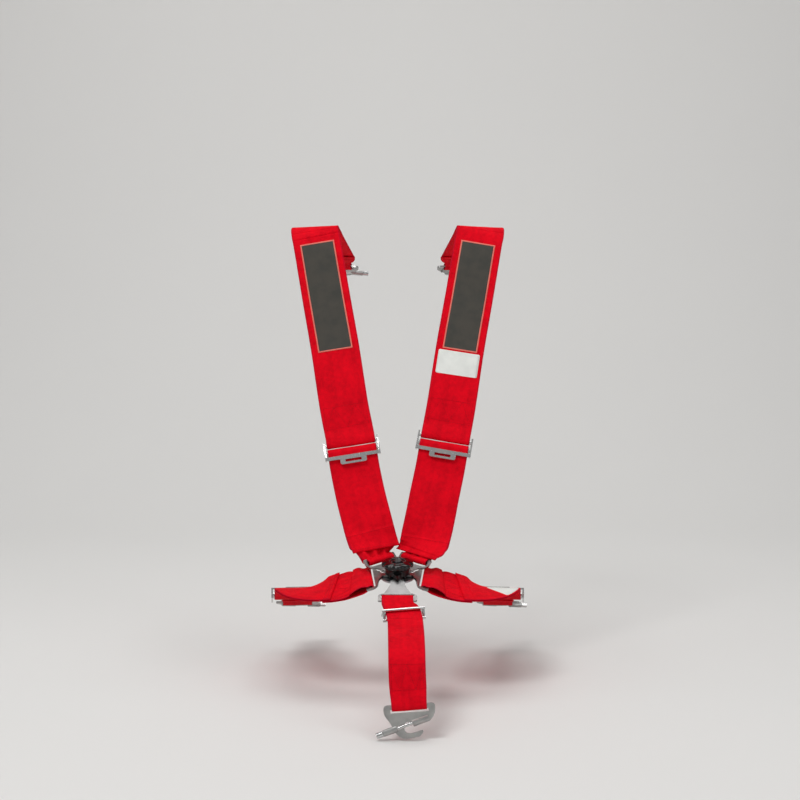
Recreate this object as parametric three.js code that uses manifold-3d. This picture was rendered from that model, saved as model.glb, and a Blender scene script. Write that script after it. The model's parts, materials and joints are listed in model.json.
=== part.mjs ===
// A five-point racing harness with a rotary cam-lock buckle.
// Millimetres, +Z up, the wearer's front towards -Y. The origin is the centre of the
// underside of the buckle's back plate, which leans LEAN degrees towards the front.
import * as THREE from 'three';
import { mergeVertices } from 'three/addons/utils/BufferGeometryUtils.js';
import Module from 'manifold-3d';

const wasm = await Module();
wasm.setup();

// ---------------------------------------------------------------- driving dimensions
const GAP = 0.3; // clearance between pieces that touch
const PLY_GAP = 0.6; // between two plies of webbing that lie on each other
const EDGE_GAP = 2.5; // between the edge of a strap and a metal ear
const LEAN = 10; // the buckle's lean towards the front, degrees

const WEB = {
  thick: 1.6, // one ply of webbing
  wide: 76.2, // shoulder and lap straps
  narrow: 50.8, // crotch strap
  slotted: 48, // a shoulder strap folded to pass a narrow slot
  crotchSlotted: 46.5, // the crotch strap where it passes its tongue
  sewn: 62, // length of a sewn return
  shortSewn: 32, // and of one on a short strap
};
const PLY = WEB.thick + PLY_GAP; // spacing of two plies

const BUCKLE = {
  plateRadius: 26,
  plateThick: 3,
  plateEdge: 1, // bevel of the back plate's rim
  drumDeep: 9.5,
  drumWall: 2.2, // of the drum, outside the pin bores
  drumEdge: 1,
  lipLength: 31, // the pointed lip over the crotch tongue, from the axis
  lipWidth: 13,
  lipPoint: 3,
  lipDeep: 7,
  coverThick: 1,
  spindleRadius: 4,
  postRadius: 2.4,
};

const SCREW = { radius: 1.25, headThick: 1.1, length: 7.8, sunk: 0.2 };

const PIN = {
  radius: 2.5,
  lift: 3.6, // travel, from dropped to lifted
  collar: 0.5, // how far the collar stands out
  collarThick: 1.2,
  stem: 1.5, // radius of the stem above the collar
  tabThick: 1,
  tabHalf: 1,
  springWire: 0.35,
};

const CAM = {
  wall: 2.6,
  turn: 30, // the knob's travel, degrees
  land: 10, // the cam's flat on each side of a lifted tab, degrees
  steps: 72,
};

const KNOB = {
  radius: 24,
  wall: 3,
  tall: 8.9,
  lobes: 8,
  scallop: 5.2, // radius of the hollows between the lobes
  scallopOut: 3.2, // their centres, outside the knob's radius
  edge: 0.8, // bevel of the lower edge
  crownDrop: 4.5, // from the top down to where the side turns in
  shoulderDrop: 2.2,
  shoulderIn: 2.5,
  dish: 10, // radius of the shallow dish in the top
  dishDeep: 2.6,
};

const SPINDLE = { foot: 1, footThick: 2, headRadius: 8, headTaper: 1.5, springWire: 0.45, springLow: 3.3 };

const TONGUE = {
  thick: 3,
  lift: 1, // height of the underside above the back plate
  noseWall: 1.6, // beside the window
  tipWall: 2, // in front of it
  tipHalf: 2.6,
  tipTaper: 2.2,
  bendOut: 2, // the bend lies this far outside the knob
  barWidth: 6.5,
  slotHigh: 8,
  rim: 4.5,
  wingCorner: 2.5,
  wingEnd: 9, // how much of the side the flare leaves straight
  wingShoulder: 4, // past the slot's near edge, where the wing is at its widest
};

// Each tongue: direction in the buckle's plane, tilt past its bend, distance of its bar from the
// buckle's axis, widths of its neck and slot, and how late its sides flare out
const TONGUES = {
  shoulder: { heading: 50, tilt: 38, reach: 43.5, neck: 18, slot: WEB.slotted + 2, flare: 0.7 },
  lap: { heading: -5, tilt: -18, reach: 46, neck: 26, slot: WEB.wide + 1.8, flare: 0.62 },
  crotch: { heading: -90, tilt: -16, reach: 70, neck: 19, slot: WEB.crotchSlotted + 2, flare: 0.45 },
};

const ADJUSTER = {
  inner: WEB.wide / 2 + EDGE_GAP, // half the clear width between the ears
  ear: 2.5,
  pitch: 12.8, // from the slide bar to the fixed upper bar
  upperRadius: 3,
  barRadius: 5,
  studRadius: 3,
  tilt: 20, // travel of the frame about its upper bar, degrees
  slip: 2.5, // travel of the slide bar along the strap
  frontLow: 12.5, // the front bar lies this far below the slide bar
  frontWidth: 5.5,
  frontOut: 8, // and this far in front of it
  plate: 2.5,
  tabWidth: 41,
  tabDrop: 8.5,
  tabSlot: 25,
  tabSlotHigh: 4,
};

const KEEPER = {
  along: 29, // distance from the crotch tongue's bar
  edge: 3.2, // clearance beside the strap
  face: 0.7, // clearance in front of it
  slack: 1.6, // and how much more there is behind it
  barRadius: 2.4,
  depth: 16,
};

const HOOK = {
  plate: 3,
  barHalf: 3.3, // half the width of the bar that the webbing wraps
  barToSlot: 8, // from that bar's centre to the slot's far edge
  slot: WEB.slotted + 4,
  shoulder: 35.3, // half the widest part of the plate
  barrelRadius: 4.6,
  barrelBore: 2.9,
  rod: 2.5,
  sleeveBore: 3.7,
  collar: 3.4,
  knob: 4.2,
  slope: 15.7, // lean of the bolt across the plate, degrees
  bay: [-14, 8], // the open bay between the two barrels, along the bolt
  mouthEnd: 31, // end of the barrel by the mouth
  tailEnd: -34, // end of the barrel by the grip
  springWire: 0.35,
};

// Heights above the buckle's origin and distances from its axis, outwards and upwards in order
const tongueLow = BUCKLE.plateThick + TONGUE.lift;
const tongueMiddle = tongueLow + TONGUE.thick / 2;
const tongueHigh = tongueLow + TONGUE.thick;
const drumLow = tongueHigh + 1;
const drumHigh = drumLow + BUCKLE.drumDeep;
const coverLow = drumHigh + GAP;
const coverHigh = coverLow + BUCKLE.coverThick;
const knobLow = coverHigh + GAP;
const knobHigh = knobLow + KNOB.tall;
const tabLow = knobLow + PIN.lift;
const knobCeiling = tabLow + PIN.tabThick + GAP + 0.1;
const pinFoot = tongueHigh + GAP + 0.4;
const collarLow = drumLow + 1 + PIN.lift + GAP;
const collarHigh = collarLow + PIN.collarThick;
const camLow = collarLow + 0.7;
const coreBore = BUCKLE.spindleRadius + 2.2; // the bore round the spindle and its spring
const camInner = coreBore + 0.5;
const camOuter = camInner + CAM.wall;
const collarRadius = PIN.radius + PIN.collar;
const pinRing = camOuter + 2 * GAP + 0.1 + collarRadius;
const drumRadius = pinRing + collarRadius + GAP + BUCKLE.drumWall;
const postRing = drumRadius - BUCKLE.postRadius - 0.1;
const window = PIN.radius + GAP + 0.2; // radius of a tongue's window round its pin
const noseHalf = window + TONGUE.noseWall;
const tongueTip = pinRing - window - TONGUE.tipWall;
const tongueBend = KNOB.radius + TONGUE.bendOut;

const COLOUR = {
  webbing: [0xd8071f, 0.85, 0],
  steel: [0xc9ccce, 0.28, 1],
  chrome: [0xe2e4e6, 0.12, 1],
  black: [0x101114, 0.35, 0],
};

// Facets round a drum, a rod and a hole
const FACETS = { drum: 26, knob: 32, rod: 10, hole: 9, screw: 7 };

const SIDES = { left: -1, right: 1 };

// ---------------------------------------------------------------- small tools
const V = (x, y, z) => new THREE.Vector3(x, y, z);
const rad = THREE.MathUtils.degToRad;

function material([color, roughness, metalness]) {
  return new THREE.MeshStandardMaterial({ color, roughness, metalness });
}

function solidOf(geometry, matrix) {
  let bare = geometry.clone();
  bare.deleteAttribute('normal');
  bare.deleteAttribute('uv');
  if (matrix) bare.applyMatrix4(matrix);
  bare = mergeVertices(bare, 1e-4);
  return new wasm.Manifold(new wasm.Mesh({
    numProp: 3,
    vertProperties: Float32Array.from(bare.attributes.position.array),
    triVerts: Uint32Array.from(bare.index.array),
  }));
}

function geometryOf(solid) {
  const mesh = solid.getMesh();
  const geometry = new THREE.BufferGeometry();
  geometry.setAttribute('position', new THREE.BufferAttribute(mesh.vertProperties, 3));
  geometry.setIndex(new THREE.BufferAttribute(mesh.triVerts, 1));
  geometry.computeVertexNormals();
  return geometry;
}

function piece(name, shape, colour) {
  const geometry = shape.isBufferGeometry ? shape : geometryOf(shape);
  const mesh = new THREE.Mesh(geometry, material(colour));
  mesh.name = name;
  return mesh;
}

function union(solids) {
  return solids.reduce((sum, solid) => sum.add(solid));
}

function cut(body, tools) {
  return tools.reduce((rest, tool) => rest.subtract(tool), body);
}

function box(x0, x1, y0, y1, z0, z1) {
  const geometry = new THREE.BoxGeometry(x1 - x0, y1 - y0, z1 - z0);
  geometry.translate((x0 + x1) / 2, (y0 + y1) / 2, (z0 + z1) / 2);
  return solidOf(geometry);
}

// A cylinder from point a to point b
function rod(a, b, radius, sides = FACETS.rod) {
  const axis = b.clone().sub(a);
  const geometry = new THREE.CylinderGeometry(radius, radius, axis.length(), sides);
  const turn = new THREE.Quaternion().setFromUnitVectors(V(0, 1, 0), axis.clone().normalize());
  geometry.applyQuaternion(turn);
  const middle = a.clone().add(b).multiplyScalar(0.5);
  geometry.translate(middle.x, middle.y, middle.z);
  return solidOf(geometry);
}

const post = (x, y, z0, z1, radius, sides) => rod(V(x, y, z0), V(x, y, z1), radius, sides);

// A solid of revolution about Z from [radius, height] pairs
function turned(profile, sides = FACETS.drum) {
  const points = profile.map(([r, z]) => new THREE.Vector2(r, z));
  const geometry = new THREE.LatheGeometry(points, sides);
  geometry.rotateX(Math.PI / 2);
  return solidOf(geometry);
}

function outline(points) {
  const shape = new THREE.Shape();
  points.forEach(([x, y], i) => (i ? shape.lineTo(x, y) : shape.moveTo(x, y)));
  return shape;
}

// A flat plate from an outline in XY, between two heights
function plate(shape, z0, z1, curveSegments = 3) {
  const geometry = new THREE.ExtrudeGeometry(shape, { depth: z1 - z0, bevelEnabled: false, curveSegments });
  geometry.translate(0, 0, z0);
  return solidOf(geometry);
}

// A coil spring about Z, closed by flat ends
function coil(radius, wire, z0, z1, turns) {
  class Helix extends THREE.Curve {
    getPoint(t, target = new THREE.Vector3()) {
      const angle = 2 * Math.PI * turns * t;
      const z = z0 + wire + (z1 - z0 - 2 * wire) * t;
      return target.set(radius * Math.cos(angle), radius * Math.sin(angle), z);
    }
  }
  const sides = 4;
  const section = outline(Array.from({ length: sides }, (_, i) => {
    const angle = (2 * Math.PI * i) / sides;
    return [wire * Math.cos(angle), wire * Math.sin(angle)];
  }));
  const steps = Math.round(turns * 7);
  const options = { steps, bevelEnabled: false, extrudePath: new Helix() };
  return solidOf(new THREE.ExtrudeGeometry(section, options));
}

// A frame whose X, Y and Z are the given directions
function frameAt(origin, x, y, z) {
  return new THREE.Matrix4().makeBasis(x, y, z).setPosition(origin);
}

function placed(matrix, ...members) {
  const group = new THREE.Group();
  matrix.decompose(group.position, group.quaternion, group.scale);
  group.add(...members);
  return group;
}

// ---------------------------------------------------------------- webbing
// A route is a list of stations: centre c, unit width direction w, unit face normal n,
// unit travel t and distance s. Plies of webbing lie at offsets along n.
function route(rows, count) {
  const curve = new THREE.CatmullRomCurve3(rows.map((row) => V(...row.at)), false, 'centripetal');
  const spans = rows.length - 1;
  const stations = [];
  let distance = 0;
  for (let i = 0; i < count; i += 1) {
    const t = curve.getUtoTmapping(i / (count - 1));
    const index = Math.min(spans - 1, Math.floor(t * spans));
    const share = t * spans - index;
    const travel = curve.getTangent(t);
    const w = V(...rows[index].across).lerp(V(...rows[index + 1].across), share);
    w.addScaledVector(travel, -w.dot(travel)).normalize();
    const c = curve.getPoint(t);
    if (i) distance += c.distanceTo(stations[i - 1].c);
    stations.push({ c, w, t: travel, n: w.clone().cross(travel), s: distance });
  }
  return unfolded(stations);
}

// Without the stations whose edge would fall behind the last one's, in a sharp sideways bend
function unfolded(stations) {
  const kept = [stations[0]];
  const edge = (st, side) => st.c.clone().addScaledVector(st.w, (side * WEB.wide) / 2);
  stations.slice(1).forEach((st) => {
    const before = kept.at(-1);
    const forward = [-1, 1].every((side) => edge(st, side).sub(edge(before, side)).dot(before.t) > 1);
    if (forward) kept.push(st);
  });
  return kept;
}

// A value that changes smoothly between [distance, value] keys
function keyed(keys, s) {
  if (s <= keys[0][0]) return keys[0][1];
  for (let i = 1; i < keys.length; i += 1) {
    const [s0, v0] = keys[i - 1];
    const [s1, v1] = keys[i];
    if (s < s1) return v0 + (v1 - v0) * THREE.MathUtils.smoothstep(s, s0, s1);
  }
  return keys.at(-1)[1];
}

// The sections of one ply between two distances, in either direction
function ply(stations, from, to, offset, width) {
  const back = to < from;
  const low = Math.min(from, to);
  const high = Math.max(from, to);
  const kept = stations.filter((st) => st.s >= low - 1e-6 && st.s <= high + 1e-6);
  const sections = kept.map((st) => ({
    c: st.c.clone().addScaledVector(st.n, keyed(offset, st.s)),
    w: st.w.clone().multiplyScalar(keyed(width, st.s) / 2),
    n: st.n.clone().multiplyScalar(back ? -1 : 1),
    back,
  }));
  return back ? sections.reverse() : sections;
}

// The half turn of a ply round a bar at one station, from one face of the route to the other
// A squareness below 1 makes the turn squarer, to clear the corners of a flat bar.
function wrap(st, { along, from, facing, out, deep, width, squareness = 1 }) {
  const sections = [];
  const steps = squareness < 1 ? 8 : 5;
  for (let i = 1; i < steps; i += 1) {
    const angle = (Math.PI * i) / steps;
    const cos = Math.abs(Math.cos(angle));
    const sin = Math.sin(angle);
    const up = from * Math.sign(Math.cos(angle));
    const c = st.c.clone().addScaledVector(st.n, up * out * cos ** squareness);
    c.addScaledVector(st.t, along * deep * sin ** squareness);
    const n = st.n.clone().multiplyScalar((up * cos ** (2 - squareness)) / out);
    n.addScaledVector(st.t, (along * sin ** (2 - squareness)) / deep);
    n.normalize().multiplyScalar(facing);
    sections.push({ c, n, w: st.w.clone().multiplyScalar(width / 2) });
  }
  return sections;
}

// The closed solid of a strap from its sections. Where it twists, the faces of all plies are split
// along the same diagonal of the route, so that they nest.
function strap(sections) {
  const corners = [];
  const faces = [];
  sections.forEach(({ c, w, n, back = false }, i) => {
    const half = n.clone().multiplyScalar(WEB.thick / 2);
    for (const [side, face] of [[1, 1], [-1, 1], [-1, -1], [1, -1]]) {
      const corner = c.clone().addScaledVector(w, side).addScaledVector(half, face);
      corners.push(corner.x, corner.y, corner.z);
    }
    if (!i) return;
    for (let k = 0; k < 4; k += 1) {
      const a = 4 * (i - 1) + k;
      const b = 4 * (i - 1) + ((k + 1) % 4);
      if (back === (k === 2)) faces.push(a, b, b + 4, a, b + 4, a + 4);
      else faces.push(a, b, a + 4, b, b + 4, a + 4);
    }
  });
  const end = 4 * (sections.length - 1);
  faces.push(0, 2, 1, 0, 3, 2, end, end + 1, end + 2, end, end + 2, end + 3);
  return outwardFaces(corners, faces);
}

// The closed shell of these corners and triangles, with its faces turned outwards
function outwardFaces(corners, faces) {
  const geometry = new THREE.BufferGeometry();
  geometry.setAttribute('position', new THREE.Float32BufferAttribute(corners, 3));
  geometry.setIndex(faces);
  if (signedVolume(geometry) < 0) {
    for (let i = 0; i < faces.length; i += 3) [faces[i], faces[i + 1]] = [faces[i + 1], faces[i]];
    geometry.setIndex(faces);
  }
  geometry.computeVertexNormals();
  return geometry;
}

function signedVolume(geometry) {
  const position = geometry.attributes.position;
  const index = geometry.index.array;
  const corner = (i) => new THREE.Vector3().fromBufferAttribute(position, index[i]);
  let sum = 0;
  for (let i = 0; i < index.length; i += 3) {
    sum += corner(i).dot(corner(i + 1).cross(corner(i + 2)));
  }
  return sum / 6;
}

// ---------------------------------------------------------------- buckle
const leaning = new THREE.Matrix4().makeRotationX(rad(LEAN));

function heading(kind, side) {
  const { heading: angle } = TONGUES[kind];
  return rad(side < 0 ? 180 - angle : angle);
}

const latched = [['shoulder', 'left'], ['shoulder', 'right'], ['lap', 'left'], ['lap', 'right']];
const lanes = latched.map(([kind, side]) => heading(kind, SIDES[side])).concat(rad(-90));
const around = (angle, radius) => [radius * Math.cos(angle), radius * Math.sin(angle)];

// The five posts stand midway between neighbouring tongues
function postAngles() {
  const turn = 2 * Math.PI;
  const sorted = lanes.map((angle) => (angle + turn) % turn).sort((a, b) => a - b);
  return sorted.map((angle, i) => (angle + (sorted[i + 1] ?? sorted[0] + turn)) / 2);
}

function backPlate() {
  const { plateRadius, plateThick, plateEdge } = BUCKLE;
  const sinkHigh = SCREW.sunk + SCREW.headThick + GAP;
  const disc = turned([[0, 0], [plateRadius - plateEdge, 0], [plateRadius, plateEdge],
    [plateRadius, plateThick], [0, plateThick]]);
  const holes = postAngles().map((angle) => {
    const [x, y] = around(angle, postRing);
    return post(x, y, -1, plateThick + 1, SCREW.radius + GAP, FACETS.hole)
      .add(post(x, y, -1, sinkHigh, 2 * SCREW.radius + GAP, FACETS.hole));
  });
  return cut(disc, holes);
}

function screw(angle) {
  const [x, y] = around(angle, postRing);
  const headHigh = SCREW.sunk + SCREW.headThick;
  return post(x, y, headHigh - 0.1, SCREW.sunk + SCREW.length, SCREW.radius, FACETS.screw)
    .add(post(x, y, SCREW.sunk, headHigh, 2 * SCREW.radius, FACETS.screw));
}

function housing() {
  const B = BUCKLE;
  const drum = turned([[coreBore, drumLow], [drumRadius, drumLow],
    [drumRadius, drumHigh - B.drumEdge], [drumRadius - B.drumEdge, drumHigh],
    [coreBore, drumHigh], [coreBore, drumLow]]);
  const half = B.lipWidth / 2;
  const point = B.lipPoint / 2;
  const lip = plate(outline([[-half, -drumRadius + 3], [-half, -drumRadius - 3],
    [-point, -B.lipLength], [point, -B.lipLength], [half, -drumRadius - 3],
    [half, -drumRadius + 3]]), drumLow, drumLow + B.lipDeep);
  const posts = postAngles().map((angle) => {
    const [x, y] = around(angle, postRing);
    return post(x, y, B.plateThick + GAP, drumLow + 1, B.postRadius, FACETS.hole);
  });
  const screwBores = postAngles().map((angle) => {
    const [x, y] = around(angle, postRing);
    return post(x, y, 0, SCREW.sunk + SCREW.length + GAP, SCREW.radius + GAP, FACETS.hole);
  });
  const bores = lanes.slice(0, 4).map((angle) => {
    const [x, y] = around(angle, pinRing);
    return post(x, y, 0, drumHigh + 1, PIN.radius + GAP, FACETS.rod)
      .add(post(x, y, drumLow + 1, drumHigh + 1, collarRadius + GAP, FACETS.rod));
  });
  const groove = turned([[coreBore - 1, camLow - GAP], [camOuter + GAP, camLow - GAP],
    [camOuter + GAP, drumHigh + 1], [coreBore - 1, drumHigh + 1],
    [coreBore - 1, camLow - GAP]]);
  return cut(union([drum, lip, ...posts]), [...bores, ...screwBores, groove]);
}

function coverPlate() {
  const disc = turned([[camOuter + GAP, coverLow], [drumRadius, coverLow],
    [drumRadius, coverHigh], [camOuter + GAP, coverHigh],
    [camOuter + GAP, coverLow]]);
  const holes = lanes.slice(0, 4).map((angle) => {
    const [x, y] = around(angle, pinRing);
    return post(x, y, 0, coverHigh + 1, PIN.stem + GAP, FACETS.hole);
  });
  return cut(disc, holes);
}

const turnedTo = (angle) => new THREE.Matrix4().makeRotationZ(angle);

// The pin of one tongue, lifted: shank, collar under its spring, stem, and the tab on the cam
function latchPin(angle) {
  const shank = post(pinRing, 0, pinFoot, collarHigh, PIN.radius);
  const collar = post(pinRing, 0, collarLow, collarHigh, collarRadius);
  const stem = post(pinRing, 0, collarHigh - 0.5, tabLow + PIN.tabThick, PIN.stem, FACETS.hole);
  const tab = box(camInner + 0.4, pinRing + PIN.stem, -PIN.tabHalf, PIN.tabHalf,
    tabLow, tabLow + PIN.tabThick);
  return solidOf(geometryOf(union([shank, collar, stem, tab])), turnedTo(angle));
}

function pinSpring(angle) {
  const radius = (PIN.stem + collarRadius) / 2 + 0.05;
  const spring = coil(radius, PIN.springWire, collarHigh + GAP, coverLow - GAP, 2.5);
  const seat = new THREE.Matrix4().makeTranslation(pinRing, 0, 0);
  return solidOf(geometryOf(spring), turnedTo(angle).multiply(seat));
}

// A ring whose top falls by the pins' lift over the knob's turn, behind each tab
function camRing() {
  const { steps } = CAM;
  const top = (angle) => {
    const behind = latched.map(([kind, side]) => {
      const lane = THREE.MathUtils.radToDeg(heading(kind, SIDES[side]));
      return THREE.MathUtils.euclideanModulo(angle - lane + CAM.land, 360);
    });
    const share = THREE.MathUtils.clamp(Math.min(...behind) / CAM.turn, 0, 1);
    return tabLow - GAP - PIN.lift * share;
  };
  const corners = [];
  const faces = [];
  for (let i = 0; i < steps; i += 1) {
    const degrees = (360 * i) / steps;
    const high = top(degrees);
    for (const [r, z] of [[camInner, camLow], [camOuter, camLow], [camOuter, high], [camInner, high]]) {
      const [x, y] = around(rad(degrees), r);
      corners.push(x, y, z);
    }
    const next = 4 * ((i + 1) % steps);
    for (let k = 0; k < 4; k += 1) {
      const a = 4 * i + k;
      const b = 4 * i + ((k + 1) % 4);
      const c = next + ((k + 1) % 4);
      const d = next + k;
      faces.push(a, b, c, a, c, d);
    }
  }
  return outwardFaces(corners, faces);
}

function knob() {
  const K = KNOB;
  const inner = K.radius - K.wall;
  const cap = turned([[0, knobCeiling], [inner, knobCeiling], [inner, knobLow],
    [K.radius - K.edge, knobLow], [K.radius, knobLow + K.edge],
    [K.radius, knobHigh - K.crownDrop], [K.radius - K.shoulderIn, knobHigh - K.shoulderDrop],
    [K.dish + 1, knobHigh - 1], [K.dish, knobHigh - K.dishDeep],
    [0, knobHigh - K.dishDeep]], FACETS.knob);
  const scallops = Array.from({ length: K.lobes }, (_, i) => {
    const [x, y] = around((2 * Math.PI * (i + 0.5)) / K.lobes, K.radius + K.scallopOut);
    return post(x, y, knobLow - 1, knobHigh + 1, K.scallop, 12);
  });
  const spindleHole = post(0, 0, 0, knobHigh + 1, BUCKLE.spindleRadius + GAP, FACETS.rod);
  return cut(cap, [...scallops, spindleHole]);
}

function spindle() {
  const S = SPINDLE;
  const radius = BUCKLE.spindleRadius;
  const footLow = BUCKLE.plateThick + GAP;
  const footHigh = BUCKLE.plateThick + S.footThick;
  const headLow = knobHigh - KNOB.dishDeep + GAP;
  return turned([[0, footLow], [radius + S.foot, footLow], [radius + S.foot, footHigh],
    [radius, footHigh], [radius, headLow], [S.headRadius, headLow],
    [S.headRadius, headLow + 1.2], [S.headRadius - S.headTaper, headLow + 2.4],
    [0, headLow + 2.4]], FACETS.rod);
}

function knobSpring() {
  const low = BUCKLE.plateThick + SPINDLE.footThick + SPINDLE.springLow;
  return coil(BUCKLE.spindleRadius + 1, SPINDLE.springWire, low, camLow - GAP, 4);
}

function buckle() {
  const group = new THREE.Group();
  group.applyMatrix4(leaning);
  group.add(
    piece('buckle_back_plate', backPlate(), COLOUR.steel),
    piece('buckle_housing', housing(), COLOUR.black),
    piece('buckle_cover_plate', coverPlate(), COLOUR.steel),
    piece('buckle_spindle', spindle(), COLOUR.chrome),
    piece('knob_spring', knobSpring(), COLOUR.steel),
    piece('release_knob', knob(), COLOUR.black),
    piece('cam_ring', camRing(), COLOUR.steel),
  );
  postAngles().forEach((angle, i) => {
    group.add(piece(`buckle_screw_${i + 1}`, screw(angle), COLOUR.steel));
  });
  latched.forEach(([kind, side]) => {
    const angle = heading(kind, SIDES[side]);
    group.add(piece(`${kind}_${side}_latch_pin`, latchPin(angle), COLOUR.steel));
    group.add(piece(`${kind}_${side}_pin_spring`, pinSpring(angle), COLOUR.steel));
  });
  return group;
}

// ---------------------------------------------------------------- tongues
// A tongue lies along local +X from the buckle's axis. Its outer part is tilted at the bend.
function tongueShape(kind, side) {
  const T = TONGUE;
  const { tilt, reach, neck, slot, flare } = TONGUES[kind];
  const run = (reach - tongueBend) / Math.cos(rad(tilt));
  const straight = drumRadius + 1.5;
  const nose = new THREE.Shape();
  nose.moveTo(tongueTip, -T.tipHalf);
  nose.lineTo(tongueTip + T.tipTaper, -noseHalf);
  nose.lineTo(straight, -noseHalf);
  nose.quadraticCurveTo(tongueBend - 1, -noseHalf - 0.5, tongueBend, -neck / 2);
  nose.lineTo(tongueBend, neck / 2);
  nose.quadraticCurveTo(tongueBend - 1, noseHalf + 0.5, straight, noseHalf);
  nose.lineTo(tongueTip + T.tipTaper, noseHalf);
  nose.lineTo(tongueTip, T.tipHalf);
  const half = slot / 2 + T.rim;
  const end = run + T.barWidth / 2;
  const corner = T.wingCorner;
  const slotNear = run - T.barWidth / 2 - T.slotHigh;
  const arm = slotNear - T.rim + 1;
  const elbow = Math.max(arm, 2);
  const wing = new THREE.Shape();
  wing.moveTo(-0.6, -neck / 2);
  wing.quadraticCurveTo(arm * flare, -neck / 2, elbow, -half + T.wingEnd);
  wing.quadraticCurveTo(arm + 3, -half, slotNear + T.wingShoulder, -half);
  wing.lineTo(end - corner, -half);
  wing.quadraticCurveTo(end, -half, end, -half + corner);
  wing.lineTo(end, half - corner);
  wing.quadraticCurveTo(end, half, end - corner, half);
  wing.lineTo(slotNear + T.wingShoulder, half);
  wing.quadraticCurveTo(arm + 3, half, elbow, half - T.wingEnd);
  wing.quadraticCurveTo(arm * flare, neck / 2, -0.6, neck / 2);
  const flat = plate(nose, tongueLow, tongueHigh);
  const hole = post(pinRing, 0, 0, tongueHigh + 1, window, FACETS.rod);
  const slotCut = box(slotNear, run - T.barWidth / 2, -slot / 2, slot / 2, -9, 9);
  const bent = cut(plate(wing, -T.thick / 2, T.thick / 2), [slotCut]);
  const place = new THREE.Matrix4().makeRotationY(-rad(tilt));
  place.setPosition(tongueBend, 0, tongueMiddle);
  const solid = cut(flat, [hole]).add(solidOf(geometryOf(bent), place));
  return solidOf(geometryOf(solid), turnedTo(heading(kind, side)));
}

// The centre of a tongue's bar, in the harness's frame
function tongueBar(kind, side) {
  const { tilt, reach } = TONGUES[kind];
  const angle = heading(kind, side);
  const rise = (reach - tongueBend) * Math.tan(rad(tilt));
  const [x, y] = around(angle, reach);
  return V(x, y, tongueMiddle + rise).applyMatrix4(leaning);
}

// The direction in which the webbing leaves a tongue, in the plane of its tilted part
function outOf(kind, side) {
  const flat = Math.cos(rad(TONGUES[kind].tilt));
  const [x, y] = around(heading(kind, side), flat);
  return V(x, y, Math.sin(rad(TONGUES[kind].tilt))).transformDirection(leaning);
}

function alongBar(kind, side) {
  const [x, y] = around(heading(kind, side) - Math.PI / 2, 1);
  return V(x, y, 0).transformDirection(leaning);
}

// ---------------------------------------------------------------- adjusters
// Local X across the strap, Y up the strap away from the buckle, Z out of its face.
// The slide bar is at the origin and the fixed bar at Y = pitch.
function earShape() {
  const A = ADJUSTER;
  const arc = A.pitch + A.slip + A.studRadius + GAP + 3;
  const shape = new THREE.Shape();
  const start = rad(180 + A.tilt + 14);
  shape.moveTo(A.pitch + 6, 4);
  shape.lineTo(A.pitch - 4, 7);
  shape.lineTo(-A.frontLow + A.frontWidth, A.frontOut + A.plate);
  shape.lineTo(-A.frontLow, A.frontOut + A.plate);
  shape.lineTo(-A.frontLow, 2);
  shape.lineTo(A.pitch - arc, 0);
  const steps = 5;
  for (let i = 1; i <= steps; i += 1) {
    const angle = Math.PI + ((start - Math.PI) * i) / steps;
    shape.lineTo(A.pitch + arc * Math.cos(angle), arc * Math.sin(angle));
  }
  shape.lineTo(A.pitch + 6, -6);
  return shape;
}

// The curved slot in an ear, in which the slide bar's stud moves as the frame tilts and slips
function earSlot() {
  const A = ADJUSTER;
  const near = A.pitch - A.studRadius - GAP;
  const far = A.pitch + A.slip + A.studRadius + GAP;
  const spread = THREE.MathUtils.radToDeg((A.studRadius + GAP) / A.pitch) + 1;
  const points = [];
  const steps = 6;
  for (let i = 0; i <= steps; i += 1) {
    const angle = rad(180 - spread + ((A.tilt + 2 * spread) * i) / steps);
    points.push([A.pitch + far * Math.cos(angle), far * Math.sin(angle)]);
  }
  for (let i = steps; i >= 0; i -= 1) {
    const angle = rad(180 - spread + ((A.tilt + 2 * spread) * i) / steps);
    points.push([A.pitch + near * Math.cos(angle), near * Math.sin(angle)]);
  }
  return outline(points);
}

// An outline in the YZ plane, extruded along X between two stations
function crosswise(shape, x0, x1) {
  const turn = new THREE.Matrix4().makeBasis(V(0, 1, 0), V(0, 0, 1), V(1, 0, 0));
  turn.setPosition(x0, 0, 0);
  return solidOf(geometryOf(plate(shape, 0, x1 - x0)), turn);
}

function adjusterFrame() {
  const A = ADJUSTER;
  const outer = A.inner + A.ear;
  const ears = [-outer, A.inner].map((x) => {
    return cut(crosswise(earShape(), x, x + A.ear), [crosswise(earSlot(), x - 1, x + A.ear + 1)]);
  });
  const upper = rod(V(-A.inner - 1, A.pitch, 0), V(A.inner + 1, A.pitch, 0), A.upperRadius);
  const low = -A.frontLow;
  const front = box(-outer, outer, low, low + A.frontWidth, A.frontOut, A.frontOut + A.plate);
  const half = A.tabWidth / 2;
  const tab = plate(outline([[-half, low + 1], [-half, low - A.tabDrop + 2],
    [-half + 2, low - A.tabDrop], [half - 2, low - A.tabDrop],
    [half, low - A.tabDrop + 2], [half, low + 1]]), A.frontOut, A.frontOut + A.plate);
  const slotHigh = low - 1.2;
  const slot = box(-A.tabSlot / 2, A.tabSlot / 2, slotHigh - A.tabSlotHigh, slotHigh, 0, 20);
  return cut(union([...ears, upper, front, tab]), [slot]);
}

function slideBar() {
  const A = ADJUSTER;
  const half = A.inner - 1;
  const grip = rod(V(-half, 0, 0), V(half, 0, 0), A.barRadius);
  const stud = rod(V(-A.inner - A.ear, 0, 0), V(A.inner + A.ear, 0, 0), A.studRadius, 8);
  return grip.add(stud);
}

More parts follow.
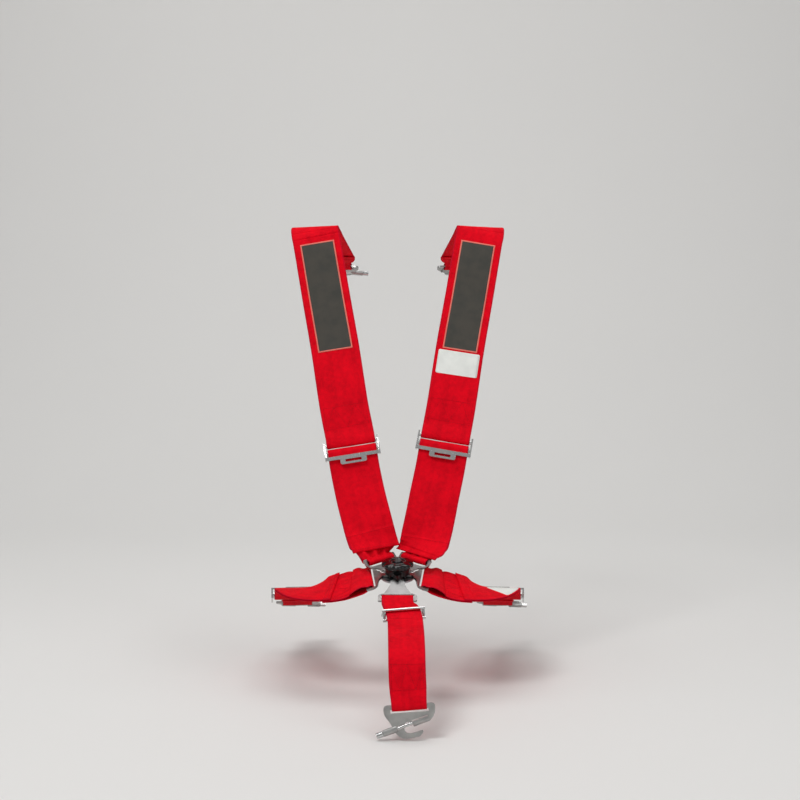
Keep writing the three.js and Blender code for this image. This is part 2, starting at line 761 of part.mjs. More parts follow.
// ---------------------------------------------------------------- snap hook
// Local X across, Y towards the tip, Z out of the face. The webbing's bar is at the origin.
const hookDown = HOOK.barToSlot;
const boltCentre = V(4.6, hookDown + 17, 0);
const boltTurn = new THREE.Matrix4().makeRotationZ(rad(180 + HOOK.slope));
const boltFrame = boltTurn.clone().setPosition(boltCentre);

function hookOutline() {
  const shape = new THREE.Shape();
  const S = HOOK.shoulder;
  const at = (x, y) => [-x, y + hookDown];
  shape.moveTo(...at(-30.5, -HOOK.barHalf - hookDown));
  shape.lineTo(...at(30.5, -HOOK.barHalf - hookDown));
  shape.quadraticCurveTo(...at(S, -11), ...at(S, -5));
  shape.quadraticCurveTo(...at(S, 6), ...at(26.5, 13));
  shape.lineTo(...at(5, 19.4));
  shape.quadraticCurveTo(...at(2.5, 12.5), ...at(-3, 12.5));
  shape.quadraticCurveTo(...at(-8.5, 12.5), ...at(-9, 20));
  shape.quadraticCurveTo(...at(-9, 28.5), ...at(0, 28.5));
  shape.lineTo(...at(16.5, 25));
  shape.quadraticCurveTo(...at(18.5, 27), ...at(12, 33));
  shape.quadraticCurveTo(...at(-2, 36.5), ...at(-12, 34));
  shape.quadraticCurveTo(...at(-21, 30), ...at(-24, 20));
  shape.quadraticCurveTo(...at(-27, 12), ...at(-32, 6));
  shape.quadraticCurveTo(...at(-S, 1), ...at(-S, -5));
  shape.quadraticCurveTo(...at(-S, -11), ...at(-30.5, -HOOK.barHalf - hookDown));
  return shape;
}

// The bolt's own frame: X towards the mouth, starting where the bolt crosses the bay
function hookPlate() {
  const H = HOOK;
  const half = H.plate / 2;
  const body = plate(hookOutline(), -half, half);
  const slot = box(-H.slot / 2, H.slot / 2, H.barHalf, H.barToSlot, -5, 5);
  const tube = (a, b, radius) => solidOf(geometryOf(rod(V(a, 0, 0), V(b, 0, 0), radius)), boltFrame);
  const [bayLow, bayHigh] = H.bay;
  const outside = [tube(bayHigh, H.mouthEnd, H.barrelRadius), tube(H.tailEnd, bayLow, H.barrelRadius)];
  const inside = [tube(H.tailEnd - 2, H.mouthEnd - 3, H.barrelBore),
    tube(H.tailEnd + 2.5, bayLow + 1, H.sleeveBore)];
  const gap = solidOf(geometryOf(box(bayLow, bayHigh, -H.barrelBore, H.barrelBore, -5, 5)), boltFrame);
  return cut(union([body, ...outside]), [slot, ...inside, gap]);
}

// The bolt closed, its rod across the bay and its collar against the front of the sleeve
const boltCollar = [HOOK.bay[0] - 3.5, HOOK.bay[0] - 1.5];

function hookBolt() {
  const H = HOOK;
  const shank = rod(V(H.tailEnd - 6, 0, 0), V(H.bay[1] + 4, 0, 0), H.rod, 8);
  const collar = rod(V(boltCollar[0], 0, 0), V(boltCollar[1], 0, 0), H.collar, 8);
  const grip = rod(V(H.tailEnd - 10, 0, 0), V(H.tailEnd - 0.5, 0, 0), H.knob);
  return union([shank, collar, grip]);
}

function hookSpring() {
  const radius = (HOOK.rod + HOOK.sleeveBore) / 2;
  const spring = coil(radius, HOOK.springWire, -boltCollar[0] + GAP, -HOOK.tailEnd - 2.5 - GAP, 4);
  return solidOf(geometryOf(spring), new THREE.Matrix4().makeRotationY(-Math.PI / 2));
}

function snapHook(name, st) {
  const bolt = new THREE.Group();
  boltFrame.decompose(bolt.position, bolt.quaternion, bolt.scale);
  bolt.add(piece(`${name}_hook_bolt`, hookBolt(), COLOUR.chrome));
  bolt.add(piece(`${name}_hook_spring`, hookSpring(), COLOUR.steel));
  return placed(frameAt(st.c, st.w, st.t, st.n),
    piece(`${name}_hook_plate`, hookPlate(), COLOUR.steel), bolt);
}

// ---------------------------------------------------------------- straps
const hookTurn = HOOK.barHalf + GAP + 0.25 + WEB.thick / 2;
const rollTurn = ADJUSTER.barRadius + GAP + WEB.thick / 2;
const upperTurn = ADJUSTER.upperRadius + GAP + WEB.thick / 2;
const tongueTurn = TONGUE.barWidth / 2 + GAP + 0.7 + WEB.thick / 2;
const tongueClear = TONGUE.thick / 2 + GAP + 0.4 + WEB.thick / 2;
const FLAT = 0.65; // squareness of a turn round a flat bar
const hookLoop = { out: hookTurn, deep: hookTurn };
const upperLoop = { out: upperTurn, deep: upperTurn };
const tongueLoop = { out: tongueClear, deep: tongueTurn, squareness: FLAT };

// Rows are given for the right side, from the centre of the tongue's bar. Sway shifts both
// sides' rows the same way. A shoulder strap widens away from the other one, so its rows move out
// with the share of its full width that it has there.
function onSide(rows, side, bar) {
  return rows.map(({ at: [x, y, z], across: [a, b, c], sway = 0, widened = 0 }) => ({
    at: [bar.x + side * (x + (widened * (WEB.wide - WEB.slotted)) / 2) + sway, bar.y + y, bar.z + z],
    across: [a, side * b, side * c],
  }));
}

// The rows that start a route at a bar, straight along a direction for a short way
function lead(from, direction, across, reach) {
  return [0, 0.5, 1].map((share) => ({
    at: from.clone().addScaledVector(direction, share * reach).toArray(),
    across: across.toArray(),
  }));
}

const last = (list) => list.at(-1);

// From a tongue to the slide bar of its adjuster: a tail on the face, the working ply behind it
function adjustableStrap(name, kind, side, rows, { straight, slotted, hem }) {
  const bar = tongueBar(kind, side);
  const start = lead(bar, outOf(kind, side), alongBar(kind, side), straight);
  const stations = route([...start, ...onSide(rows, side, bar)], 44);
  const length = last(stations).s;
  const working = [[6, tongueClear], [hem.at, hem.under], [hem.at + 25, -PLY / 2],
    [length - 40, -PLY / 2], [length, -rollTurn]];
  const tail = [[hem.at, hem.under + PLY + GAP], [hem.at + 25, PLY / 2],
    [length - 40, PLY / 2], [length, rollTurn]];
  const sewn = [[6, -tongueClear], [hem.at, hem.under - PLY], [hem.at + 25, -1.5 * PLY],
    [length, -1.5 * PLY]];
  const narrowing = [[6, slotted], [hem.at + 20, WEB.wide]];
  const roll = { along: 1, from: 1, facing: 1, out: rollTurn, deep: rollTurn, width: WEB.wide };
  const loop = { along: -1, from: 1, facing: -1, ...tongueLoop, width: slotted };
  const mesh = piece(name, strap([
    ...ply(stations, hem.at, length, tail, [[0, WEB.wide]]),
    ...wrap(last(stations), roll),
    ...ply(stations, length, 0, working, narrowing),
    ...wrap(stations[0], loop),
    ...ply(stations, 0, WEB.sewn, sewn, narrowing),
  ]), COLOUR.webbing);
  return { mesh, end: last(stations) };
}

// A strap looped round a bar at each end, its sewn returns behind it
function loopedStrap(name, rows, count, start, finish, sewn, widths) {
  const stations = route(rows, count);
  const length = last(stations).s;
  const face = [[6, start.out], [22, PLY / 2], [length - 22, PLY / 2], [length, finish.out]];
  const behind = face.map(([s, offset]) => [s, -offset]);
  const widthAt = (s) => keyed(widths(length), s);
  const turn = (st, along, from, facing, size) => (
    wrap(st, { along, from, facing, ...size, width: widthAt(st.s) }));
  const mesh = piece(name, strap([
    ...ply(stations, sewn[0], 0, behind, widths(length)),
    ...turn(stations[0], -1, -1, 1, start),
    ...ply(stations, 0, length, face, widths(length)),
    ...turn(last(stations), 1, 1, 1, finish),
    ...ply(stations, length, length - sewn[1], behind, widths(length)),
  ]), COLOUR.webbing);
  return { mesh, end: last(stations), stations };
}


// Shoulder strap of the right side, from the tongue up to the slide bar
const SHOULDER_LOWER = [
  { at: [8, 10, 13.3], across: [0.92, -0.38, -0.12], sway: 2 },
  { at: [7.4, 19.5, 33.3], across: [0.97, -0.2, -0.15], sway: 1.5, widened: 0.5 },
  { at: [6.4, 28, 55.3], across: [0.985, -0.08, -0.157], sway: 1, widened: 1 },
  { at: [14.4, 40.5, 88.3], across: [0.986, -0.055, -0.157], widened: 1 },
  { at: [23.9, 57.5, 130.3], across: [0.986, -0.055, -0.157], widened: 1 },
];
const SLIDE_BAR = { right: [29.9, 69, 162.3], left: [28.3, 66.5, 155.8] };

// The same strap from its adjuster, over the shoulder and back to its hook
const SHOULDER_UPPER = [
  { at: [41.1, 89.5, 220.3], across: [0.986, -0.055, -0.157], widened: 1 },
  { at: [56.5, 121.5, 312.3], across: [0.986, -0.055, -0.157], widened: 1 },
  { at: [70.7, 148.5, 387.3], across: [0.986, -0.055, -0.157], widened: 1 },
  { at: [88.2, 181.5, 482.3], across: [0.987, -0.06, -0.15], widened: 1 },
  { at: [91.5, 190, 496.8], across: [0.99, 0, -0.13], widened: 1 },
  { at: [91.7, 201.5, 502.3], across: [0.99, 0.1, -0.06], widened: 1 },
  { at: [90.5, 215.5, 501.3], across: [0.99, 0.13, -0.02], widened: 1 },
  { at: [84.9, 252.5, 488.8], across: [0.985, 0.17, 0], widened: 1 },
  { at: [73.9, 320.5, 464.8], across: [0.985, 0.17, 0], widened: 1 },
  { at: [61.9, 394.5, 438.8], across: [0.985, 0.17, 0], widened: 1 },
];

// Lap strap of the right side, from the tongue out over the lap and back to its slide bar
const LAP_MAIN = [
  { at: [29.2, 1.8, -8.8], across: [-0.03, -0.945, -0.326] },
  { at: [44.2, 3.8, -12.3], across: [0, -0.945, -0.326] },
  { at: [59.2, 7.8, -14.8], across: [0.15, -0.93, -0.31] },
  { at: [76.2, 13.8, -17.8], across: [0.42, -0.86, -0.26] },
  { at: [91.2, 25.8, -20.8], across: [0.7, -0.68, -0.16] },
  { at: [101.2, 42.8, -23.3], across: [0.92, -0.36, -0.04] },
  { at: [105.2, 63.8, -27.3], across: [0.995, -0.08, 0] },
  { at: [108.2, 98.8, -37], across: [1, -0.05, 0] },
  { at: [112.7, 153.8, -56], across: [1, -0.08, 0] },
];
const LAP_ANCHOR = 80; // from the adjuster's upper bar to the hook

// How a strap meets its tongue: length that leaves the bar straight, width in the slot, and where
// the tail's hem lies and how far the working ply stands off the route under it
const SHOULDER_FIT = { straight: 8, slotted: WEB.slotted, hem: { at: 8, under: WEB.thick / 2 + 1.1 } };
const LAP_FIT = { straight: 12, slotted: TONGUES.lap.slot - EDGE_GAP, hem: { at: 46, under: 0 } };

// Crotch strap, from its tongue over the front edge of a seat and down to its hook
const CROTCH = [
  { at: [7, -26.3, -8.5], across: [-1, 0, 0] },
  { at: [9.6, -40.3, -12.8], across: [-1, 0, 0] },
  { at: [11.2, -59.3, -17.6], across: [-1, 0, 0] },
  { at: [12, -97.3, -21.8], across: [-1, 0, 0] },
  { at: [12.6, -137.3, -29.3], across: [-1, 0, 0] },
  { at: [13, -160.3, -41.8], across: [-1, 0, 0] },
  { at: [13.4, -170.8, -60.8], across: [-1, 0, 0] },
  { at: [14.6, -175.3, -85.8], across: [-1, 0, 0.03] },
  { at: [16.2, -177.3, -108.3], across: [-1, 0, 0.05] },
];

function adjusterAt(name, st) {
  return placed(frameAt(st.c, st.w, st.t, st.n),
    piece(`${name}_adjuster_frame`, adjusterFrame(), COLOUR.chrome),
    piece(`${name}_slide_bar`, slideBar(), COLOUR.steel));
}

const upperBarOf = (st) => st.c.clone().addScaledVector(st.t, ADJUSTER.pitch);

function shoulder(sideName) {
  const side = SIDES[sideName];
  const name = `shoulder_${sideName}`;
  const group = new THREE.Group();
  const slideAt = { at: SLIDE_BAR[sideName], across: [0.986, -0.055, -0.157], widened: 1 };
  const lower = adjustableStrap(`${name}_lower_strap`, 'shoulder', side,
    [...SHOULDER_LOWER, slideAt], SHOULDER_FIT);
  const start = lead(upperBarOf(lower.end), lower.end.t, lower.end.w, ADJUSTER.pitch);
  const rows = [...start, ...onSide(SHOULDER_UPPER, side, tongueBar('shoulder', side))];
  const widths = (length) => [[length - 45, WEB.wide], [length - 12, WEB.slotted]];
  const sewn = [WEB.sewn, WEB.sewn];
  const upper = loopedStrap(`${name}_upper_strap`, rows, 52, upperLoop, hookLoop, sewn, widths);
  group.add(lower.mesh, upper.mesh, adjusterAt(name, lower.end), snapHook(name, upper.end));
  return group;
}

function lap(sideName) {
  const side = SIDES[sideName];
  const name = `lap_${sideName}`;
  const group = new THREE.Group();
  const main = adjustableStrap(`${name}_strap`, 'lap', side, LAP_MAIN, LAP_FIT);
  const rows = lead(upperBarOf(main.end), main.end.t, main.end.w, LAP_ANCHOR);
  const widths = (length) => [[8, WEB.wide], [length - 12, WEB.slotted]];
  const sewn = [WEB.shortSewn, WEB.shortSewn];
  const anchor = loopedStrap(`${name}_anchor_strap`, rows, 14, upperLoop, hookLoop, sewn, widths);
  group.add(main.mesh, anchor.mesh, adjusterAt(name, main.end), snapHook(name, anchor.end));
  return group;
}

// The keeper encloses both plies: one bar in front, one behind, joined at the strap's edges
function keeper() {
  const K = KEEPER;
  const half = WEB.narrow / 2 + K.edge;
  const front = (PLY + WEB.thick) / 2 + K.face + K.barRadius;
  const back = -front - K.slack;
  const bars = [[0, front], [-K.depth / 2, back], [K.depth / 2, back]];
  const rails = [-half, half].flatMap((x) => [
    rod(V(x, 0, front), V(x, -K.depth / 2, back), 0.9 * K.barRadius, 6),
    rod(V(x, 0, front), V(x, K.depth / 2, back), 0.9 * K.barRadius, 6),
  ]);
  const across = bars.map(([y, z]) => (
    rod(V(-half - K.barRadius, y, z), V(half + K.barRadius, y, z), K.barRadius)));
  return union([...across, ...rails]);
}

function crotch() {
  const bar = tongueBar('crotch', 1);
  const first = lead(bar, outOf('crotch', 1), alongBar('crotch', 1), 10);
  const rows = [...first, ...onSide(CROTCH, 1, bar)];
  const widths = (length) => [[8, WEB.crotchSlotted], [30, WEB.narrow],
    [length - 30, WEB.narrow], [length, WEB.slotted]];
  const sewn = [WEB.sewn, WEB.sewn];
  const line = loopedStrap('crotch_strap', rows, 46, tongueLoop, hookLoop, sewn, widths);
  const seat = line.stations.find((st) => st.s > KEEPER.along);
  const group = new THREE.Group();
  group.add(line.mesh, snapHook('crotch', line.end));
  const frame = frameAt(seat.c, seat.w, seat.t, seat.n);
  group.add(placed(frame, piece('crotch_keeper', keeper(), COLOUR.chrome)));
  return group;
}

function tongues() {
  const group = new THREE.Group();
  group.applyMatrix4(leaning);
  for (const [kind, side] of latched) {
    group.add(piece(`${kind}_${side}_tongue`, tongueShape(kind, SIDES[side]), COLOUR.steel));
  }
  group.add(piece('crotch_tongue', tongueShape('crotch', 1), COLOUR.steel));
  return group;
}

const harness = new THREE.Group();
harness.add(buckle(), tongues(), crotch());
for (const sideName of Object.keys(SIDES)) {
  harness.add(shoulder(sideName), lap(sideName));
}
export default harness;
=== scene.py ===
"""The looks of a racing harness: its webbing, sewing, patches and metal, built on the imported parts.

Metres, +Z up, the wearer's front towards -Y.
"""

import json
import math

import bmesh
import bpy
import numpy as np
from mathutils import Matrix, Vector


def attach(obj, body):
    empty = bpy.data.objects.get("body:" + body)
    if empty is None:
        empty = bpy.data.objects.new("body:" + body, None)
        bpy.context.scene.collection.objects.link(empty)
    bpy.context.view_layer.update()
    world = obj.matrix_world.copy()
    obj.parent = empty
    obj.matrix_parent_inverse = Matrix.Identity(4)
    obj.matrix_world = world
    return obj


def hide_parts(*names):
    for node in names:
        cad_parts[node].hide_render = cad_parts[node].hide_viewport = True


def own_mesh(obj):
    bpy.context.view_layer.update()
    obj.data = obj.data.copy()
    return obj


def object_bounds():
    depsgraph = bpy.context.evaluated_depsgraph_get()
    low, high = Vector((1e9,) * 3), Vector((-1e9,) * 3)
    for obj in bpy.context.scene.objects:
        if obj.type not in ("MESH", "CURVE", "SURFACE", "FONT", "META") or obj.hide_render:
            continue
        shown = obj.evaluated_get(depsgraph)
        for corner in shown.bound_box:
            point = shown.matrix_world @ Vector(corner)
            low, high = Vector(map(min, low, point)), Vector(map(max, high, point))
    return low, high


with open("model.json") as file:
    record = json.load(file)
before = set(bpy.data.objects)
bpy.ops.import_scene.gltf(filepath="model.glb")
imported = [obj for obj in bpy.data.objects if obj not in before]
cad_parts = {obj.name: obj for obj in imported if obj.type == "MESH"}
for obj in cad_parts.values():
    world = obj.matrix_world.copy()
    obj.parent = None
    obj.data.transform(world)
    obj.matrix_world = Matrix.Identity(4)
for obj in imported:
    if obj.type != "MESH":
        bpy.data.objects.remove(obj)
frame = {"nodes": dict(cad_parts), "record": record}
cad_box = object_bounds()
NODES = frame["nodes"]
BODY_OF = {node: body for body, members in frame["record"]["behaviour"]["bodies"].items() for node in members}
MM = 0.001

# ---------------------------------------------------------------- sizes
WEB_THICK = 1.6 * MM
HALF_WIDE = 38.1 * MM  # half a shoulder or lap strap, laid flat
HALF_NARROW = 25.4 * MM  # half the crotch strap
SEWN = 62 * MM  # length of each sewn return
RIPPLE = 0.16 * MM  # how far the webbing's face wanders from flat
THREAD = 0.42 * MM  # thickness of the sewing thread
STITCH = 3.6 * MM  # from one stitch to the next

BOLT_TRAVEL = 11.2 * MM  # how far a hook's bolt draws back, and its spring with it
LEAN = math.radians(10)  # the buckle's lean towards the front
KNOB_LOBES = 8
KNOB_HOLLOW = 2.1 * MM  # depth of the hollows between the lobes
KNOB_PROFILE = [(4.6, 25.4), (9.2, 25.4), (10.0, 25.7), (10.5, 26.4), (11.0, 26.95), (11.8, 27.2), (14, 27.25),
                (17, 27.0), (19.5, 26.55), (21.4, 25.9), (22.7, 25.0), (23.6, 23.9), (24.0, 22.6), (24.0, 20.6),
                (23.8, 19.7), (23.3, 19.2), (22.6, 19.1), (21.3, 19.1), (21.0, 19.4), (21.0, 24.1), (4.6, 24.1)]

HEM_EXTRA = 6 * MM  # the folded hem at the end of a shoulder tail
HEM_THICK = 0.95 * MM  # how much prouder a folded hem stands
PATCH_HEIGHTS = (0.333, 0.503)
PATCH_SHARES = (-0.72, 0.72)
LAP_LABEL_SPAN = (52 * MM, 88 * MM)  # from the tail's hem
LAP_LABEL_SHARES = (-0.12, 0.93)
FRONT = (0, -1, 0.25)

SIDES = ("left", "right")
LANES = [f"{kind}_{side}" for kind in ("shoulder", "lap") for side in SIDES]
HOOKS = LANES + ["crotch"]


# ---------------------------------------------------------------- shader tools
class Value:
    """A number in a shader. Expressions on values add the Math nodes that work them out."""

    def __init__(self, shader, socket):
        self.shader = shader
        self.socket = socket

    def math(self, operation, *others):
        return self.shader.math(operation, self, *others)

    def __add__(self, other):
        return self.math("ADD", other)

    def __sub__(self, other):
        return self.math("SUBTRACT", other)

    def __mul__(self, other):
        return self.math("MULTIPLY", other)

    def __truediv__(self, other):
        return self.math("DIVIDE", other)

    def __pow__(self, other):
        return self.math("POWER", other)

    def __lt__(self, other):
        return self.math("LESS_THAN", other)

    def __gt__(self, other):
        return self.math("GREATER_THAN", other)

    def __rsub__(self, other):
        return self.shader.math("SUBTRACT", other, self)

    def __abs__(self):
        return self.math("ABSOLUTE")

    __radd__ = __add__
    __rmul__ = __mul__

    def sine(self):
        return self.math("SINE")

    def floor(self):
        return self.math("FLOOR")

    def fold(self, width):
        """Runs up and down between 0 and the width."""
        return self.math("PINGPONG", width)

    def ramp(self, low, high):
        """0 below one value, 1 above the other, and smooth between them."""
        settings = {"interpolation_type": "SMOOTHSTEP"}
        return self.shader.node("ShaderNodeMapRange", settings, Value=self, **{"From Min": low, "From Max": high})


class Shader:
    """A material under a maker's name, with one Principled surface."""

    def __init__(self, name, **finish):
        self.material = bpy.data.materials.new(name)
        self.material.use_nodes = True
        self.tree = self.material.node_tree
        self.tree.nodes.clear()
        self.surface = self.tree.nodes.new("ShaderNodeBsdfPrincipled")
        output = self.tree.nodes.new("ShaderNodeOutputMaterial")
        self.tree.links.new(self.surface.outputs["BSDF"], output.inputs["Surface"])
        self.set(**{key.replace("_", " "): value for key, value in finish.items()})

    def fill(self, node, key, value):
        socket = node.inputs[key]
        if isinstance(value, Value):
            value = value.socket
        if isinstance(value, bpy.types.NodeSocket):
            self.tree.links.new(value, socket)
        else:
            socket.default_value = value

    def node(self, kind, settings=None, output=0, **inputs):
        """Adds a node and returns one of its outputs. Settings come first, then the sockets."""
        node = self.tree.nodes.new(kind)
        for key, value in (settings or {}).items():
            setattr(node, key, value)
        for key, value in inputs.items():
            self.fill(node, key, value)
        return Value(self, node.outputs[output])

    def math(self, operation, *terms):
        node = self.tree.nodes.new("ShaderNodeMath")
        node.operation = operation
        for index, term in enumerate(terms):
            self.fill(node, index, term)
        return Value(self, node.outputs[0])

    def mix(self, share, first, second):
        """A colour between two colours."""
        node = self.tree.nodes.new("ShaderNodeMix")
        node.data_type = "RGBA"
        for key, value in ((0, share), (6, first), (7, second)):
            self.fill(node, key, value)
        return Value(self, node.outputs[2])

    def noise(self, scale, where=None, detail=3.0, stretch=(1, 1, 1)):
        """Cloudy variation in the object's own space, or in the given coordinates."""
        where = where or self.place(stretch)
        return self.node("ShaderNodeTexNoise", None, 0, Vector=where, Scale=scale, Detail=detail)

    def place(self, stretch=(1, 1, 1)):
        coordinates = self.node("ShaderNodeTexCoord", None, "Object")
        return self.node("ShaderNodeMapping", None, 0, Vector=coordinates, Scale=stretch)

    def along(self, layer):
        """The two coordinates of a piece's own map, in metres."""
        coordinates = self.node("ShaderNodeUVMap", {"uv_map": layer})
        split = self.tree.nodes.new("ShaderNodeSeparateXYZ")
        self.fill(split, 0, coordinates)
        return Value(self, split.outputs["X"]), Value(self, split.outputs["Y"])

    def bump(self, height, distance, strength=1.0):
        normal = self.node("ShaderNodeBump", None, 0, Height=height, Distance=distance, Strength=strength)
        self.set(Normal=normal)

    def set(self, **sockets):
        for key, value in sockets.items():
            self.fill(self.surface, key, value)


def rgb(red, green, blue):
    """A colour written in screen values, from 0 to 255, as the shader wants it."""
    linear = [((c / 255 + 0.055) / 1.055) ** 2.4 if c > 10 else c / 255 / 12.92 for c in (red, green, blue)]
    return (*linear, 1.0)


# ---------------------------------------------------------------- materials
def webbing_material(name, half, face, dark_tone_and_groove_shade, rim):
    """Polyester webbing: ribs along it, picks across it and a herringbone of broad panels, with painted shade
    darkening the low grooves of the weave.
    """
    shader = Shader(name, Roughness=0.78)
    across, along = shader.along("webbing")
    panels = 10
    panel = 2 * half / panels
    rib = abs((across * (math.pi / (1.25 * MM))).sine())
    slant = (across + 10 * half).fold(panel)
    pick = ((along + slant * 0.9) * (math.pi / (1.5 * MM))).sine()
    twill = abs(pick) * 0.6 + rib * 0.4
    panel_tone = (((across + 10 * half) / panel).floor() * 2.4).sine()
    drift = shader.noise(38.0, detail=2.0) - 0.5
    fibre = shader.noise(900.0, detail=2.0) - 0.5
    edge = abs(across).ramp(half - 2.6 * MM, half - 1.4 * MM)
    depth = 1 - twill
    cloud = shader.noise(170.0, detail=2.0) - 0.5
    # painted shade: the weave's grooves (depth) turn the red darker, mixed with random darker tone from the noise
    # and panels
    groove_shade_and_tone = depth * 0.42 + drift * 0.6 + cloud * 0.5 + fibre * 0.35 + panel_tone * 0.04
    colour = shader.mix(groove_shade_and_tone.ramp(-0.2, 0.75), face, dark_tone_and_groove_shade)
    shader.set(**{"Base Color": shader.mix(edge * 0.55, colour, rim)})
    shader.set(Roughness=0.7 + depth * 0.16)
    shader.set(**{"Specular IOR Level": 0.05})
    height = twill * (1 - edge * 0.5) + fibre * 0.35 + edge * 0.4
    shader.bump(height, 0.28 * MM, 0.75)
    return shader.material


def thread_material():
    """Bonded sewing thread, a twist of fine fibres a little darker than the webbing."""
    shader = Shader("sewing_thread", Roughness=0.55)
    twist = shader.noise(2600.0, detail=1.0)
    shader.set(**{"Base Color": shader.mix(twist, rgb(190, 10, 30), rgb(120, 4, 18)), "Specular IOR Level": 0.1})
    shader.bump(twist, 0.08 * MM, 0.6)
    return shader.material


def plated_material(name, bright, dull, rough, grain, grain_scale):
    """Plated steel plate: a soft mottle, fine scratches along it and duller patches."""
    shader = Shader(name, Metallic=1.0)
    mottle = shader.noise(55.0)
    scratches = shader.noise(grain_scale, detail=4.0, stretch=grain)
    shader.set(**{"Base Color": shader.mix(mottle.ramp(0.35, 0.75), bright, dull)})
    shader.set(Roughness=rough + mottle * 0.1 + scratches.ramp(0.45, 0.75) * 0.12)
    shader.bump(scratches, 0.03 * MM, 0.35)
    return shader.material


def black_material(name, rough):
    """Black coated alloy with a fine orange peel."""
    shader = Shader(name, Metallic=0.0)
    peel = shader.noise(1500.0, detail=2.0)
    wear = shader.noise(70.0)
    shader.set(**{"Base Color": shader.mix(wear.ramp(0.5, 0.8), rgb(7, 7, 8), rgb(15, 15, 17))})
    shader.set(Roughness=rough + wear * 0.14)
    shader.set(**{"Specular IOR Level": 0.3, "Coat Weight": 0.35, "Coat Roughness": 0.5 * rough})
    shader.bump(peel, 0.02 * MM, 0.3)
    return shader.material


def cloth_print_material(name, ground, fleck, pitch):
    """A flat woven or printed cloth patch with a plain fine weave."""
    shader = Shader(name, Roughness=0.82)
    across, along = shader.along("webbing")
    weave = (across * (math.pi / pitch)).sine() * (along * (math.pi / pitch)).sine()
    cloud = shader.noise(60.0)
    shader.set(**{"Base Color": shader.mix(cloud.ramp(0.3, 0.8) * 0.6 + abs(weave) * 0.25, ground, fleck)})
    shader.bump(weave, 0.09 * MM, 0.5)
    return shader.material


def spring_material():
    shader = Shader("spring_wire", Metallic=1.0)
    drawn = shader.noise(400.0, stretch=(1, 1, 6))
    shader.set(**{"Base Color": shader.mix(drawn, rgb(150, 151, 154), rgb(112, 113, 117))})
    shader.set(Roughness=0.3 + drawn * 0.15)
    return shader.material


def floor_material():
    shader = Shader("pale_floor", Roughness=0.9)
    cloud = shader.noise(0.6)
    shader.set(**{"Base Color": shader.mix(cloud, rgb(222, 221, 219), rgb(228, 227, 225))})
    return shader.material


# the darker red is painted shade in the weave's grooves and also random darker tone
RED = {"face": rgb(236, 6, 30), "dark_tone_and_groove_shade": rgb(170, 3, 20), "rim": rgb(176, 14, 44)}
WEBBING = webbing_material("webbing_wide", HALF_WIDE, **RED)
NARROW_WEBBING = webbing_material("webbing_narrow", HALF_NARROW, **RED)
STITCHING = thread_material()
TONGUE_PLATE = plated_material("tongue_plate", rgb(168, 167, 166), rgb(146, 145, 144), 0.27, (1, 1, 1), 260.0)
HOOK_STEEL = plated_material("hook_plate_steel", rgb(178, 178, 176), rgb(152, 152, 151), 0.32, (1, 1, 1), 300.0)
BRIGHT = plated_material("bright_chrome", rgb(214, 214, 212), rgb(198, 199, 199), 0.12, (1, 1, 1), 420.0)
DARK_STEEL = plated_material("black_oxide_steel", rgb(46, 46, 49), rgb(30, 30, 33), 0.14, (1, 1, 1), 300.0)
TURNED_STEEL = plated_material("turned_steel", rgb(172, 173, 176), rgb(138, 139, 143), 0.26, (1, 1, 14), 260.0)
SPRING_WIRE = spring_material()
BLACK_ALLOY = black_material("black_coated_alloy", 0.24)
GLOSS_BLACK = black_material("gloss_black_alloy", 0.08)
PATCH_CLOTH = cloth_print_material("dark_patch_cloth", rgb(66, 62, 55), rgb(48, 50, 46), 0.9 * MM)
RIM_CLOTH = cloth_print_material("patch_rim_cloth", rgb(228, 122, 106), rgb(206, 96, 88), 0.7 * MM)
LABEL_CLOTH = cloth_print_material("blank_label_cloth", rgb(232, 234, 229), rgb(214, 216, 212), 0.5 * MM)


# ---------------------------------------------------------------- mesh tools
def new_piece(name, mesh, material, body, slot, *replaced):
    piece = bpy.data.objects.new(name, mesh)
    bpy.context.scene.collection.objects.link(piece)
    piece.data.materials.clear()
    piece.data.materials.append(material)
    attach(piece, body)
    if replaced:
        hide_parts(*replaced)
    return piece


def grid_mesh(name, rows, uvs=None, around=False, layer="webbing"):
    """A mesh from rows of points. Around closes each row into a ring and caps both ends."""
    rows = np.asarray(rows, float)
    count, width = rows.shape[:2]
    faces = []
    for i in range(count - 1):
        for j in range(width if around else width - 1):
            k = (j + 1) % width
            faces.append((i * width + j, i * width + k, (i + 1) * width + k, (i + 1) * width + j))
    if around:
        faces.append(tuple(reversed(range(width))))
        faces.append(tuple((count - 1) * width + j for j in range(width)))
    mesh = bpy.data.meshes.new(name)
    mesh.from_pydata([tuple(p) for p in rows.reshape(-1, 3)], [], faces)
    if uvs is not None:
        flat = np.asarray(uvs, float).reshape(-1, 2)
        layer = mesh.uv_layers.new(name=layer)
        loops = np.zeros(len(mesh.loops), dtype=np.int32)
        mesh.loops.foreach_get("vertex_index", loops)
        layer.data.foreach_set("uv", flat[loops].ravel())
    mesh.polygons.foreach_set("use_smooth", [True] * len(mesh.polygons))
    mesh.update()
    return mesh


def outward(mesh):
    """Turns every face of a closed mesh outwards."""
    bm = bmesh.new()
    bm.from_mesh(mesh)
    bmesh.ops.recalc_face_normals(bm, faces=bm.faces)
    if bm.calc_volume(signed=True) < 0:
        bmesh.ops.reverse_faces(bm, faces=bm.faces)
    bm.to_mesh(mesh)
    bm.free()
    return mesh


# ---------------------------------------------------------------- webbing
def unit(vectors):
    return vectors / np.linalg.norm(vectors, axis=1)[:, None]


